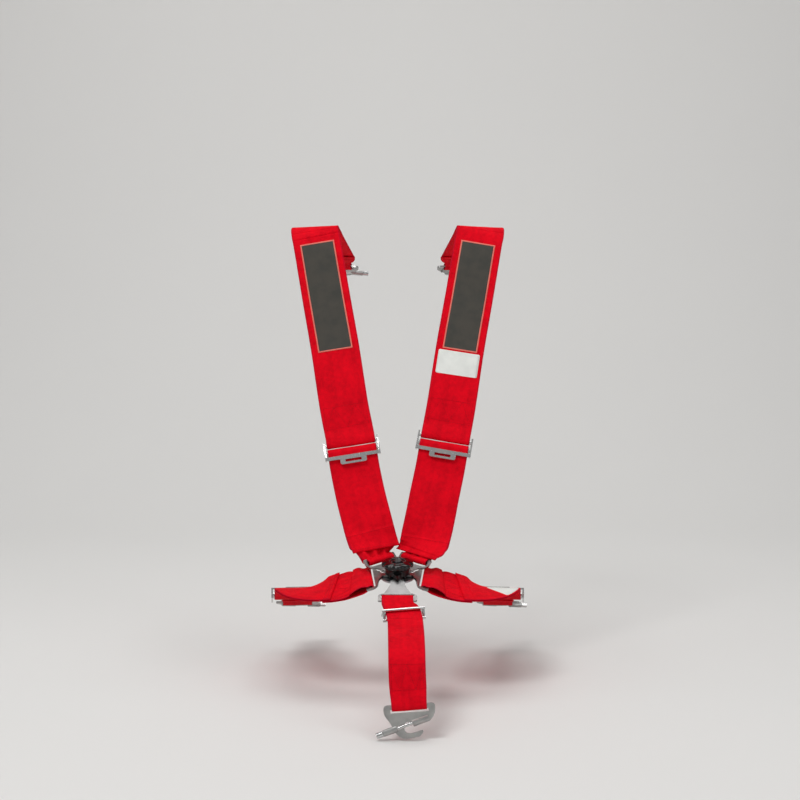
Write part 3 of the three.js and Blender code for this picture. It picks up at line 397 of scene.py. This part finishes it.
class Band:
    """A strap unrolled: its middle line, half-width direction, face normal and distance along it.

    The solid strap is a chain of four-cornered sections, so walking from one end cap along the
    merged mesh gives them back in order. The band starts at the end nearer the given point, and
    can be made longer there.
    """

    def __init__(self, node, origin, seed, longer=0.0, step=1.6 * MM):
        sections = self.sections(node)
        ends = [np.linalg.norm(sections[k].mean(axis=0) - np.asarray(origin)) for k in (0, -1)]
        if ends[0] > ends[1]:
            sections = sections[::-1]
        if longer:
            onward = (sections[0] - sections[1]).mean(axis=0)
            onward *= longer / np.linalg.norm(onward)
            sections = np.concatenate([sections[:1] + onward, sections])
        middle = sections.mean(axis=1)
        across = (sections[:, 0] + sections[:, 1] - sections[:, 2] - sections[:, 3]) / 4
        if across.mean(axis=0) @ (1, -0.3, 0.1) < 0:
            across = -across
        normal = sections[:, 0] - sections[:, 1] + sections[:, 3] - sections[:, 2]
        gaps = np.linalg.norm(np.diff(middle, axis=0), axis=1)
        knots = np.concatenate([[0], np.cumsum(gaps)])
        count = max(2, int(round(knots[-1] / step)))
        self.node = node
        self.seed = seed
        self.length = knots[-1]
        self.along = np.linspace(0, knots[-1], count + 1)
        self.middle = self.smooth(knots, middle)
        self.half = np.linalg.norm(self.smooth(knots, across), axis=1)
        self.across = unit(self.smooth(knots, across))
        travel = unit(np.gradient(self.middle, self.along, axis=0))
        normal = self.smooth(knots, unit(normal))
        normal -= travel * np.sum(normal * travel, axis=1)[:, None]
        self.normal = unit(normal)
        self.turning = np.gradient(travel, self.along, axis=0)
        self.hem = (0.0, 1)
        self.folds = []

    def smooth(self, knots, values):
        """Cubic interpolation through the sections, with slopes from their neighbours."""
        slopes = np.gradient(values, knots, axis=0)
        spot = np.clip(np.searchsorted(knots, self.along, side="right") - 1, 0, len(knots) - 2)
        width = (knots[spot + 1] - knots[spot])[:, None]
        t = (self.along[:, None] - knots[spot][:, None]) / width
        start = (2 * t**3 - 3 * t**2 + 1) * values[spot] + (t**3 - 2 * t**2 + t) * width * slopes[spot]
        end = (3 * t**2 - 2 * t**3) * values[spot + 1] + (t**3 - t**2) * width * slopes[spot + 1]
        return start + end

    @staticmethod
    def sections(node):
        bm = bmesh.new()
        bm.from_mesh(NODES[node].data)
        bmesh.ops.remove_doubles(bm, verts=bm.verts, dist=2e-5)
        near = {v: {e.other_vert(v) for e in v.link_edges} for v in bm.verts}
        start = next(v for v in near if len(near[v]) <= 5 and len(Band.cap(v, near)) == 4)
        rings = [Band.first_ring(Band.cap(start, near))]
        seen = set(rings[0])
        while True:
            following = {w for v in rings[-1] for w in near[v]} - seen
            if len(following) != 4:
                break
            rings.append(Band.next_ring(following, rings[-1]))
            seen |= following
        if len(seen) != len(bm.verts):
            raise ValueError(f"{node} isn't one chain of sections")
        points = np.array([[tuple(v.co) for v in ring] for ring in rings])
        bm.free()
        return points

    @staticmethod
    def cap(vertex, near):
        """The four corners of the end cap that a vertex is on, or none."""
        for face in vertex.link_faces:
            ring = set(face.verts)
            for other in {f for edge in face.edges for f in edge.link_faces}:
                if other is face or face.normal.dot(other.normal) < 0.999:
                    continue
                four = ring | set(other.verts)
                outside = set().union(*(near[v] for v in four)) - four
                if len(four) == 4 and len(outside) == 4:
                    return list(four)
        return []

    @staticmethod
    def first_ring(ring):
        """Corners as front and back of one edge, then back and front of the other."""
        first = ring[0]
        partner, *others = sorted(ring[1:], key=lambda v: (v.co - first.co).length)
        third, fourth = sorted(others, key=lambda v: (v.co - partner.co).length)
        return [first, partner, third, fourth]

    @staticmethod
    def next_ring(corners, before):
        """The corners in the order of the ring before them, by nearness once moved beside it."""
        left = list(corners)
        shift = (sum((v.co for v in left), Vector()) - sum((v.co for v in before), Vector())) / 4
        ring = []
        for corner in before:
            nearest = min(left, key=lambda v: (v.co - shift - corner.co).length)
            left.remove(nearest)
            ring.append(nearest)
        return ring

    def relief(self, along, share):
        """How far the webbing stands off its middle surface: a small ripple and the folds."""
        wander = np.sin(along * 95 + self.seed) * np.cos(share * 2.3 + self.seed * 1.7 + along * 21)
        wander = wander + 0.45 * np.sin(along * 260 + 5 * share + self.seed * 2.1)
        fade = np.clip(np.minimum(along, self.length - along) / (12 * MM), 0, 1)
        return RIPPLE * wander * fade + sum(fold(along, share) for fold in self.folds)

    def thickness(self, along, side):
        """From the middle surface to a face, with the folded hem at the start standing prouder."""
        reach, face = self.hem
        step = np.clip((reach - along) / (1.5 * MM), 0, 1) if reach else 0 * along
        return WEB_THICK / 2 + np.where(np.asarray(side) * face > 0, 1, 0) * step * HEM_THICK

    def column(self, values, along):
        return np.stack([np.interp(along, self.along, column) for column in values.T], axis=-1)

    def at(self, along, share, side=1, lift=0.0):
        """Points on a face of the band, lifted off it."""
        along = np.asarray(along, float)
        share = np.asarray(share, float)
        height = self.relief(along, share) + side * (self.thickness(along, side) + lift)
        half = np.interp(along, self.along, self.half) * share
        return (self.column(self.middle, along) + self.column(self.across, along) * half[..., None]
                + self.column(self.normal, along) * height[..., None])

    def facing(self, low, high, direction):
        """1 or -1: which face of the band looks along a direction between two distances."""
        chosen = (self.along >= low) & (self.along <= high)
        return 1 if float(self.normal[chosen].mean(axis=0) @ np.asarray(direction)) > 0 else -1

    def apex(self, point):
        """The distance at which the band passes nearest a point."""
        return float(self.along[int(np.argmin(np.linalg.norm(self.middle - point, axis=1)))])

    def outside(self, apex):
        """1 or -1: the face on the outside of the turn that the band makes round a bar."""
        chosen = abs(self.along - apex) < 4 * MM
        return -1 if float((self.turning[chosen] * self.normal[chosen]).sum()) > 0 else 1

    def outer(self, low, high):
        """The face of a ply between two distances that looks away from the rest of the band."""
        chosen = (self.along >= low) & (self.along <= high)
        index = int(np.flatnonzero(chosen).mean())
        gap = self.middle[~chosen] - self.middle[index]
        beside = gap[np.linalg.norm(gap, axis=1) < 12 * MM]
        return -1 if len(beside) and float((beside @ self.normal[index]).mean()) > 0 else 1

    def where(self, height, low, high):
        """Where the band, between two distances, passes a height."""
        chosen = (self.along >= low) & (self.along <= high)
        heights = self.middle[chosen][:, 2]
        return float(self.along[chosen][int(np.argmin(abs(heights - height)))])


def hump(along, low, peak, high):
    """0 outside two distances and 1 at the peak between them, smooth throughout."""
    rise = np.clip((along - low) / (peak - low), 0, 1)
    fall = np.clip((high - along) / (high - peak), 0, 1)
    return (3 * rise**2 - 2 * rise**3) * (3 * fall**2 - 2 * fall**3)


def gathered(band, apex, depth, ahead):
    """Folds behind a tongue's slot, where the wide webbing is drawn together.

    All plies move the same way, backwards, so that they stay apart.
    """
    forward = np.sign(band.normal @ np.asarray(ahead))

    def fold(along, share):
        near = hump(abs(along - apex), 6 * MM, 13 * MM, 30 * MM)
        wave = 0.5 - 0.5 * np.cos(2 * math.pi * (1.6 * share + 0.12 * band.seed))
        sign = np.interp(along, band.along, forward)
        return np.where(along > apex - 30 * MM, -depth * near * wave * sign, 0)
    return fold


def swollen(band, apex, depth, top):
    """A loop round a tongue's bar that stands open, most of all towards one edge."""
    outside = band.outside(apex)

    def fold(along, share):
        near = hump(abs(along - apex), 6 * MM, 17 * MM, 40 * MM)
        return outside * depth * near * (0.75 + 0.25 * top * share)
    return fold


def slack(band, apex):
    """Webbing that stands off a tongue's bar inside the slot."""
    outside = band.outside(apex)

    def fold(along, share):
        return outside * 2.8 * MM * hump(along, apex - 6 * MM, apex, apex + 6 * MM)
    return fold


def creased(band, low, high, pitch, depth, ahead):
    """Short creases straight across a strap that has been pulled tight round an edge."""
    forward = np.sign(band.normal @ np.asarray(ahead))

    def fold(along, share):
        near = hump(along, low, (low + high) / 2, high)
        wave = 0.5 - 0.5 * np.cos(2 * math.pi * (along - low) / pitch + 0.5 * share)
        return -depth * near * wave * np.interp(along, band.along, forward)
    return fold


def webbing_mesh(band, half):
    """The strap as a closed skin with rounded woven edges."""
    inner = 1 - 2.4 * MM / half
    spread = np.linspace(-inner, inner, 24)
    edge = [(inner + (1 - inner) * 0.55, 0.93), (inner + (1 - inner) * 0.9, 0.6), (1.0, 0.0),
            (inner + (1 - inner) * 0.9, -0.6), (inner + (1 - inner) * 0.55, -0.93)]
    loop = [(share, 1.0) for share in spread] + edge
    loop += [(share, -1.0) for share in spread[::-1]] + [(-share, -side) for share, side in edge]
    shares, sides = np.array(loop).T
    along = band.along[:, None] + 0 * shares[None, :]
    shares = shares[None, :] + 0 * along
    sides = sides[None, :] + 0 * along
    ends = np.clip(np.minimum(along, band.length - along) / (1.2 * MM), 0, 1) ** 0.5
    height = band.relief(along, shares) + sides * band.thickness(along, sides) * (0.35 + 0.65 * ends)
    rows = (band.middle[:, None, :] + band.across[:, None, :] * (band.half[:, None] * shares)[:, :, None]
            + band.normal[:, None, :] * height[:, :, None])
    uvs = np.stack([shares * half, along], axis=2)
    return outward(grid_mesh(f"{band.node}_webbing", rows, uvs, around=True))


def weave(band, half=HALF_WIDE, material=None):
    """Puts the woven strap in place of the plain one."""
    new_piece(f"{band.node}_webbing", webbing_mesh(band, half), material or WEBBING,
              BODY_OF[band.node], "webbing", band.node)


# ---------------------------------------------------------------- sewing
def stitch_tree():
    """Geometry Nodes: thread stitches set along every line of a mesh, lying on its surface."""
    tree = bpy.data.node_groups.new("run_of_stitches", "GeometryNodeTree")
    interface = tree.interface
    interface.new_socket("Lines", in_out="INPUT", socket_type="NodeSocketGeometry")
    interface.new_socket("Pitch", in_out="INPUT", socket_type="NodeSocketFloat")
    interface.new_socket("Thickness", in_out="INPUT", socket_type="NodeSocketFloat")
    interface.new_socket("Thread", in_out="INPUT", socket_type="NodeSocketMaterial")
    interface.new_socket("Stitches", in_out="OUTPUT", socket_type="NodeSocketGeometry")
    nodes = tree.nodes
    link = tree.links.new
    given = nodes.new("NodeGroupInput")
    result = nodes.new("NodeGroupOutput")
    curve = nodes.new("GeometryNodeMeshToCurve")
    resample = nodes.new("GeometryNodeResampleCurve")
    resample.mode = "LENGTH"
    link(given.outputs["Lines"], curve.inputs["Mesh"])
    link(curve.outputs["Curve"], resample.inputs["Curve"])
    link(given.outputs["Pitch"], resample.inputs["Length"])
    tangent = nodes.new("GeometryNodeInputTangent")
    align = nodes.new("FunctionNodeAlignRotationToVector")
    align.axis = "X"
    link(tangent.outputs["Tangent"], align.inputs["Vector"])
    thread = nodes.new("GeometryNodeMeshUVSphere")
    thread.inputs["Segments"].default_value = 8
    thread.inputs["Rings"].default_value = 5
    thread.inputs["Radius"].default_value = 0.5
    size = nodes.new("ShaderNodeCombineXYZ")
    long = nodes.new("ShaderNodeMath")
    long.operation = "MULTIPLY"
    long.inputs[1].default_value = 0.82
    link(given.outputs["Pitch"], long.inputs[0])
    link(long.outputs[0], size.inputs["X"])
    link(given.outputs["Thickness"], size.inputs["Y"])
    link(given.outputs["Thickness"], size.inputs["Z"])
    place = nodes.new("GeometryNodeInstanceOnPoints")
    link(resample.outputs["Curve"], place.inputs["Points"])
    link(thread.outputs["Mesh"], place.inputs["Instance"])
    link(align.outputs["Rotation"], place.inputs["Rotation"])
    link(size.outputs["Vector"], place.inputs["Scale"])
    realize = nodes.new("GeometryNodeRealizeInstances")
    finish = nodes.new("GeometryNodeSetMaterial")
    link(place.outputs["Instances"], realize.inputs["Geometry"])
    link(realize.outputs["Geometry"], finish.inputs["Geometry"])
    link(given.outputs["Thread"], finish.inputs["Material"])
    link(finish.outputs["Geometry"], result.inputs["Stitches"])
    return tree


STITCH_TREE = stitch_tree()


def sew(name, body, lines):
    """Turns polylines that lie on the webbing into one piece of stitching on a body."""
    points = []
    edges = []
    for line in lines:
        first = len(points)
        points.extend(tuple(p) for p in line)
        edges.extend((first + i, first + i + 1) for i in range(len(line) - 1))
    mesh = bpy.data.meshes.new(name)
    mesh.from_pydata(points, edges, [])
    guide = bpy.data.objects.new(name, mesh)
    bpy.context.scene.collection.objects.link(guide)
    modifier = guide.modifiers.new("stitches", "NODES")
    modifier.node_group = STITCH_TREE
    sockets = {item.name: item.identifier for item in STITCH_TREE.interface.items_tree if item.in_out == "INPUT"}
    modifier[sockets["Pitch"]] = STITCH
    modifier[sockets["Thickness"]] = THREAD
    modifier[sockets["Thread"]] = STITCHING
    bpy.context.view_layer.update()
    evaluated = guide.evaluated_get(bpy.context.evaluated_depsgraph_get())
    sewn = bpy.data.meshes.new_from_object(evaluated)
    bpy.data.objects.remove(guide)
    sewn.name = name
    sewn.polygons.foreach_set("use_smooth", [True] * len(sewn.polygons))
    return new_piece(name, sewn, STITCHING, body, "webbing")


def seam(band, corners, side):
    """A line on one face of a band through (distance, share) corners."""
    lines = []
    for (a0, s0), (a1, s1) in zip(corners, corners[1:]):
        steps = max(2, int(math.hypot(a1 - a0, (s1 - s0) * HALF_WIDE) / (2 * MM)))
        lines.append(np.linspace((a0, s0), (a1, s1), steps, endpoint=False))
    route = np.vstack(lines + [np.array([corners[-1]])])
    return band.at(route[:, 0], route[:, 1], side, 0.12 * MM)


def sewn_box(band, low, high, side):
    """The sewing of a return: a box with a zigzag of four strokes inside it."""
    edge = 0.86
    box = [(low, -edge), (high, -edge), (high, edge), (low, edge), (low, -edge)]
    zigzag = [(low, -edge), (high, -edge / 2), (low, 0), (high, edge / 2), (low, edge)]
    return [seam(band, box, side), seam(band, zigzag, side)]


def return_sewing(band, at_end):
    """Box stitching on the outer face of a sewn return and on the ply that it is sewn to."""
    low, high = (12 * MM, 46 * MM)
    turn = SEWN + 9 * MM
    spans = [(low, high), (2 * turn - high, 2 * turn - low)]
    if at_end:
        spans = [(band.length - b, band.length - a) for a, b in spans]
    return [line for a, b in spans for line in sewn_box(band, a, b, band.outer(a, b))]


# ---------------------------------------------------------------- straps
def middle_of(node):
    corners = np.array([corner[:] for corner in NODES[node].bound_box])
    return corners.mean(axis=0)


def hemmed(band, reach, low, high):
    """Doubles the start of a strap's tail on its outer face and returns the two rows that hold it."""
    face = band.outer(low, high)
    band.hem = (reach, face)
    rows = [4 * MM, reach - 3 * MM] if reach > 20 * MM else [4 * MM, 8 * MM]
    return [seam(band, [(spot, -0.93), (spot, 0.93)], face) for spot in rows]


def shoulder_straps(side, seed):
    name = f"shoulder_{side}"
    lower = Band(f"{name}_lower_strap", middle_of(f"{name}_tongue"), seed, HEM_EXTRA)
    apex = lower.apex((0, 0, 10 * MM))
    lower.folds = [gathered(lower, apex, 7.5 * MM, FRONT), slack(lower, apex)]
    lines = hemmed(lower, 33 * MM, 20 * MM, 60 * MM) + return_sewing(lower, True)
    upper = Band(f"{name}_upper_strap", middle_of(f"{name}_slide_bar"), seed + 1.3)
    lines += return_sewing(upper, False) + return_sewing(upper, True)
    weave(lower)
    weave(upper)
    sew(f"{name}_sewing", name, lines)
    return upper


def lap_straps(side, seed):
    name = f"lap_{side}"
    main = Band(f"{name}_strap", middle_of(f"{name}_tongue"), seed)
    apex = main.apex((0, 0, 10 * MM))
    far = 1 if main.column(main.across, np.array([apex]))[0][1] > 0 else -1
    main.folds = [swollen(main, apex, 5.0 * MM, far), slack(main, apex)]
    lines = hemmed(main, 10 * MM, 20 * MM, 60 * MM) + return_sewing(main, True)
    anchor = Band(f"{name}_anchor_strap", middle_of(f"{name}_slide_bar"), seed + 0.7)
    low, high = (anchor.length / 2 - 16 * MM, anchor.length / 2 + 16 * MM)
    lines += sewn_box(anchor, low, high, anchor.facing(low, high, (0, 0, 1)))
    weave(main)
    weave(anchor)
    sew(f"{name}_sewing", name, lines)
    return main


def crotch_webbing():
    band = Band("crotch_strap", middle_of("crotch_tongue"), 2.2)
    front = band.apex((0.012, -0.152, -0.038))
    creases = creased(band, front - 16 * MM, front + 16 * MM, 7.0 * MM, 1.3 * MM, FRONT)
    band.folds = [creases, slack(band, band.apex((0, 0, 10 * MM)))]
    weave(band, HALF_NARROW, NARROW_WEBBING)
    sew("crotch_sewing", "buckle", return_sewing(band, False) + return_sewing(band, True))


# ---------------------------------------------------------------- patches and labels
def patch_mesh(name, band, side, span, shares, thick, corner=0.0):
    """A thin patch that follows the webbing, between two distances and two shares of its width."""
    low, high = span
    middle = (shares[0] + shares[1]) / 2
    spots = np.linspace(low, high, max(8, int((high - low) / (3 * MM))))
    if corner:
        bends = corner * (1 - np.cos(np.linspace(0, math.pi / 2, 5)))
        spots = np.unique(np.concatenate([low + bends, spots[2:-2], high - bends]))
    near = np.minimum(spots - low, high - spots)
    pull = corner - np.sqrt(np.maximum(0, corner**2 - np.maximum(0, corner - near) ** 2))
    squeeze = 1 - pull / ((shares[1] - shares[0]) / 2 * HALF_WIDE)
    columns = middle + (np.linspace(*shares, 13) - middle)[None, :] * squeeze[:, None]
    distance = spots[:, None] + 0 * columns
    top = band.at(distance, columns, side, thick)
    bottom = band.at(distance, columns, side, -0.25 * MM)
    rows = np.concatenate([top, bottom[:, ::-1]], axis=1)
    uv = np.stack([columns * HALF_WIDE, distance], axis=2)
    return outward(grid_mesh(name, rows, np.concatenate([uv, uv[:, ::-1]], axis=1), around=True))


def rim_mesh(name, band, side, span, shares, width, thick):
    """The narrow woven rim round a patch, as one closed ring of rounded section."""
    low, high = span
    inset = width / HALF_WIDE
    counts = (max(8, int((high - low) / (3 * MM))), 12)

    def loop(shift):
        near, far = low + shift * width, high - shift * width
        left, right = shares[0] + shift * inset, shares[1] - shift * inset
        corners = [(near, left), (far, left), (far, right), (near, right)]
        return np.vstack([np.linspace(corners[k], corners[(k + 1) % 4], counts[k % 2], endpoint=False)
                          for k in range(4)])

    section = [(0, -0.25 * MM), (0, 0.6 * thick), (0.3, thick), (0.7, thick), (1, 0.6 * thick), (1, -0.25 * MM)]
    rings = [(loop(shift), lift) for shift, lift in section]
    rows = np.stack([band.at(ring[:, 0], ring[:, 1], side, lift) for ring, lift in rings], axis=1)
    uvs = np.stack([ring[:, ::-1] * (HALF_WIDE, 1) for ring, _ in rings], axis=1)
    rows = np.concatenate([rows, rows[:1]])
    uvs = np.concatenate([uvs, uvs[:1]])
    mesh = grid_mesh(name, rows, uvs, around=True)
    bm = bmesh.new()
    bm.from_mesh(mesh)
    bmesh.ops.delete(bm, geom=[face for face in bm.faces if len(face.verts) > 4], context="FACES_ONLY")
    bmesh.ops.remove_doubles(bm, verts=bm.verts, dist=1e-6)
    bm.to_mesh(mesh)
    bm.free()
    return outward(mesh)


def shoulder_patch(side, band):
    """A dark bare patch with a pale rim on an upper shoulder strap, and a blank label under one."""
    name = f"shoulder_{side}"
    crest = band.where(1.0, 0, band.length)
    start = SEWN + 9 * MM
    face = band.facing(start, crest, FRONT)
    low, high = (band.where(height, start, crest) for height in PATCH_HEIGHTS)
    mesh = patch_mesh(f"{name}_patch", band, face, (low, high), PATCH_SHARES, 0.35 * MM)
    new_piece(f"{name}_patch", mesh, PATCH_CLOTH, name, "dark_patch")
    rim = rim_mesh(f"{name}_patch_rim", band, face, (low, high), PATCH_SHARES, 2.2 * MM, 0.6 * MM)
    new_piece(f"{name}_patch_rim", rim, RIM_CLOTH, name, "patch_rim")
    if side == "right":
        label(name, band, face, (low - 41 * MM, low - 2.5 * MM), (-0.86, 0.86))


def label(name, band, face, span, shares):
    mesh = patch_mesh(f"{name}_label", band, face, span, shares, 0.4 * MM, corner=2.5 * MM)
    new_piece(f"{name}_label", mesh, LABEL_CLOTH, name, "white_label")


# ---------------------------------------------------------------- metal
def dressed(node, material, edge, slot, limit=42):
    """A copy of a metal part with its sharp edges rounded, standing for the plain one."""
    bm = bmesh.new()
    bm.from_mesh(NODES[node].data)
    bmesh.ops.remove_doubles(bm, verts=bm.verts, dist=1e-5)
    bmesh.ops.dissolve_limit(bm, angle_limit=math.radians(1), verts=bm.verts, edges=bm.edges)
    for face in bm.faces:
        face.smooth = True
    mesh = bpy.data.meshes.new(f"{node}_dressed")
    bm.to_mesh(mesh)
    bm.free()
    piece = new_piece(f"{node}_dressed", mesh, material, BODY_OF[node], slot, node)
    bevel = piece.modifiers.new("edges", "BEVEL")
    bevel.width = edge
    bevel.segments = 2
    bevel.limit_method = "ANGLE"
    bevel.angle_limit = math.radians(limit)
    bevel.use_clamp_overlap = True
    bevel.miter_outer = "MITER_ARC"
    weight = piece.modifiers.new("shading", "WEIGHTED_NORMAL")
    weight.keep_sharp = True
    return piece


def paint(node, material):
    data = NODES[node].data
    data.materials.clear()
    data.materials.append(material)


def hook_spring(hook):
    """The bolt's return spring, as a smooth-shaded copy of the plain coil; the share it would shorten to is
    worked out but not used.
    """
    node = f"{hook}_hook_spring"
    joint = next(j for j in frame["record"]["behaviour"]["joints"] if j["name"] == f"{hook}_bolt_slide")
    bm = bmesh.new()
    bm.from_mesh(NODES[node].data)
    bmesh.ops.remove_doubles(bm, verts=bm.verts, dist=1e-5)
    for face in bm.faces:
        face.smooth = True
    mesh = bpy.data.meshes.new(f"{node}_coil")
    bm.to_mesh(mesh)
    bm.free()
    piece = new_piece(f"{node}_coil", mesh, SPRING_WIRE, BODY_OF[node], "spring_steel", node)
    axis = Vector(joint["axis"])
    spots = sorted((v.co.dot(axis), tuple(v.co)) for v in mesh.vertices)
    length = spots[-1][0] - spots[0][0]
    (length - BOLT_TRAVEL) / length
    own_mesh(piece)


def knob():
    """The release knob: a lobed black cap with a dished top, open below."""
    angle = np.linspace(0, 2 * math.pi, 160, endpoint=False)[:, None]
    radius, height = (np.array(column)[None, :] * MM for column in zip(*KNOB_PROFILE))
    hollow = (0.5 - 0.5 * np.cos(KNOB_LOBES * angle)) ** 1.6
    outer = hump(radius, 12 * MM, 23 * MM, 60 * MM) * (height > 19 * MM) * (radius > 21.1 * MM)
    crown = hump(radius, 11.5 * MM, 19 * MM, 25 * MM) * (height > 25 * MM)
    reach = radius - KNOB_HOLLOW * hollow * outer - 0.3 * MM * hollow * crown
    rise = height - 0.55 * MM * hollow * crown
    rows = np.stack([reach * np.cos(angle), reach * np.sin(angle), rise + 0 * angle], axis=2)
    rows = np.concatenate([rows, rows[:1]])
    mesh = grid_mesh("release_knob_cap", rows, around=True)
    bm = bmesh.new()
    bm.from_mesh(mesh)
    bmesh.ops.delete(bm, geom=[face for face in bm.faces if len(face.verts) > 4], context="FACES_ONLY")
    bmesh.ops.remove_doubles(bm, verts=bm.verts, dist=1e-6)
    bm.to_mesh(mesh)
    bm.free()
    mesh.transform(Matrix.Rotation(LEAN, 4, "X"))
    new_piece("release_knob_cap", outward(mesh), GLOSS_BLACK, "knob", "black_anodised", "release_knob")


def metalwork():
    for lane in LANES:
        dressed(f"{lane}_tongue", TONGUE_PLATE, 0.45 * MM, "zinc_plate")
        dressed(f"{lane}_adjuster_frame", BRIGHT, 0.5 * MM, "chrome")
        dressed(f"{lane}_slide_bar", BRIGHT, 0.35 * MM, "chrome", 25)
        paint(f"{lane}_latch_pin", TURNED_STEEL)
        paint(f"{lane}_pin_spring", SPRING_WIRE)
    dressed("crotch_tongue", TONGUE_PLATE, 0.45 * MM, "zinc_plate")
    dressed("crotch_keeper", BRIGHT, 0.35 * MM, "chrome", 25)
    for hook in HOOKS:
        dressed(f"{hook}_hook_plate", HOOK_STEEL, 0.4 * MM, "zinc_plate", 25)
        dressed(f"{hook}_hook_bolt", BRIGHT, 0.3 * MM, "chrome", 25)
        hook_spring(hook)
    for node in ("buckle_back_plate", "buckle_cover_plate", "cam_ring"):
        paint(node, TURNED_STEEL)
    for index in range(1, 6):
        paint(f"buckle_screw_{index}", TURNED_STEEL)
    dressed("buckle_spindle", DARK_STEEL, 0.4 * MM, "buckle_steel", 25)
    paint("knob_spring", SPRING_WIRE)
    dressed("buckle_housing", BLACK_ALLOY, 0.35 * MM, "black_anodised")
    knob()


# ---------------------------------------------------------------- stage
def stage():
    """A pale floor that sweeps up behind into a wall, with no line between them."""
    low = cad_box[0][2] - 3 * MM
    turn = 1.6
    bend = np.linspace(0, math.pi / 2, 25)
    run = [-30.0, 0.0, *(1.4 + turn * np.sin(bend)), 1.4 + turn]
    rise = [0.0, 0.0, *(turn - turn * np.cos(bend)), 7.0]
    rows = [[(x, y, low + z) for x in (-24.0, 24.0)] for y, z in zip(run, rise)]
    mesh = grid_mesh("floor", rows)
    mesh.materials.append(floor_material())
    floor = bpy.data.objects.new("floor", mesh)
    bpy.context.scene.collection.objects.link(floor)

    world = bpy.data.worlds.new("pale_room")
    world.use_nodes = True
    background = world.node_tree.nodes["Background"]
    background.inputs["Color"].default_value = rgb(240, 240, 240)
    background.inputs["Strength"].default_value = 0.4
    bpy.context.scene.world = world


def lamp(name, place, aim, size, power):
    data = bpy.data.lights.new(name, "AREA")
    data.shape = "RECTANGLE"
    data.size, data.size_y = size
    data.energy = power
    light = bpy.data.objects.new(name, data)
    light.location = place
    light.rotation_euler = (Vector(aim) - Vector(place)).to_track_quat("-Z", "Y").to_euler()
    bpy.context.scene.collection.objects.link(light)


def lights():
    target = (0, 0, 0.15)
    lamp("key", (-1.1, -1.7, 2.8), target, (1.2, 0.9), 45)
    lamp("fill", (1.9, -1.8, 1.4), target, (1.2, 1.2), 12)
    lamp("top", (0, 0.3, 2.6), target, (1.8, 1.4), 18)
    lamp("wall", (0, 0.9, 2.8), (0, 3.0, 1.2), (3.0, 0.8), 16)


def camera():
    data = bpy.data.cameras.new("camera")
    data.lens = 72
    data.sensor_width = 36
    eye = bpy.data.objects.new("camera", data)
    eye.location = (0.00375, -2.369, 0.4753)
    eye.rotation_euler = (math.radians(85), 0, 0)
    bpy.context.scene.collection.objects.link(eye)
    bpy.context.scene.camera = eye


# ---------------------------------------------------------------- assembly
camera()
stage()
lights()
metalwork()
for index, side_name in enumerate(SIDES):
    shoulder_patch(side_name, shoulder_straps(side_name, 1.1 + index))
    lap_tail = lap_straps(side_name, 4.2 + index)
    if side_name == "right":
        tail_face = lap_tail.outer(20 * MM, 60 * MM)
        label("lap_right", lap_tail, tail_face, LAP_LABEL_SPAN, LAP_LABEL_SHARES)
crotch_webbing()

bpy.context.scene.view_settings.view_transform = "Standard"
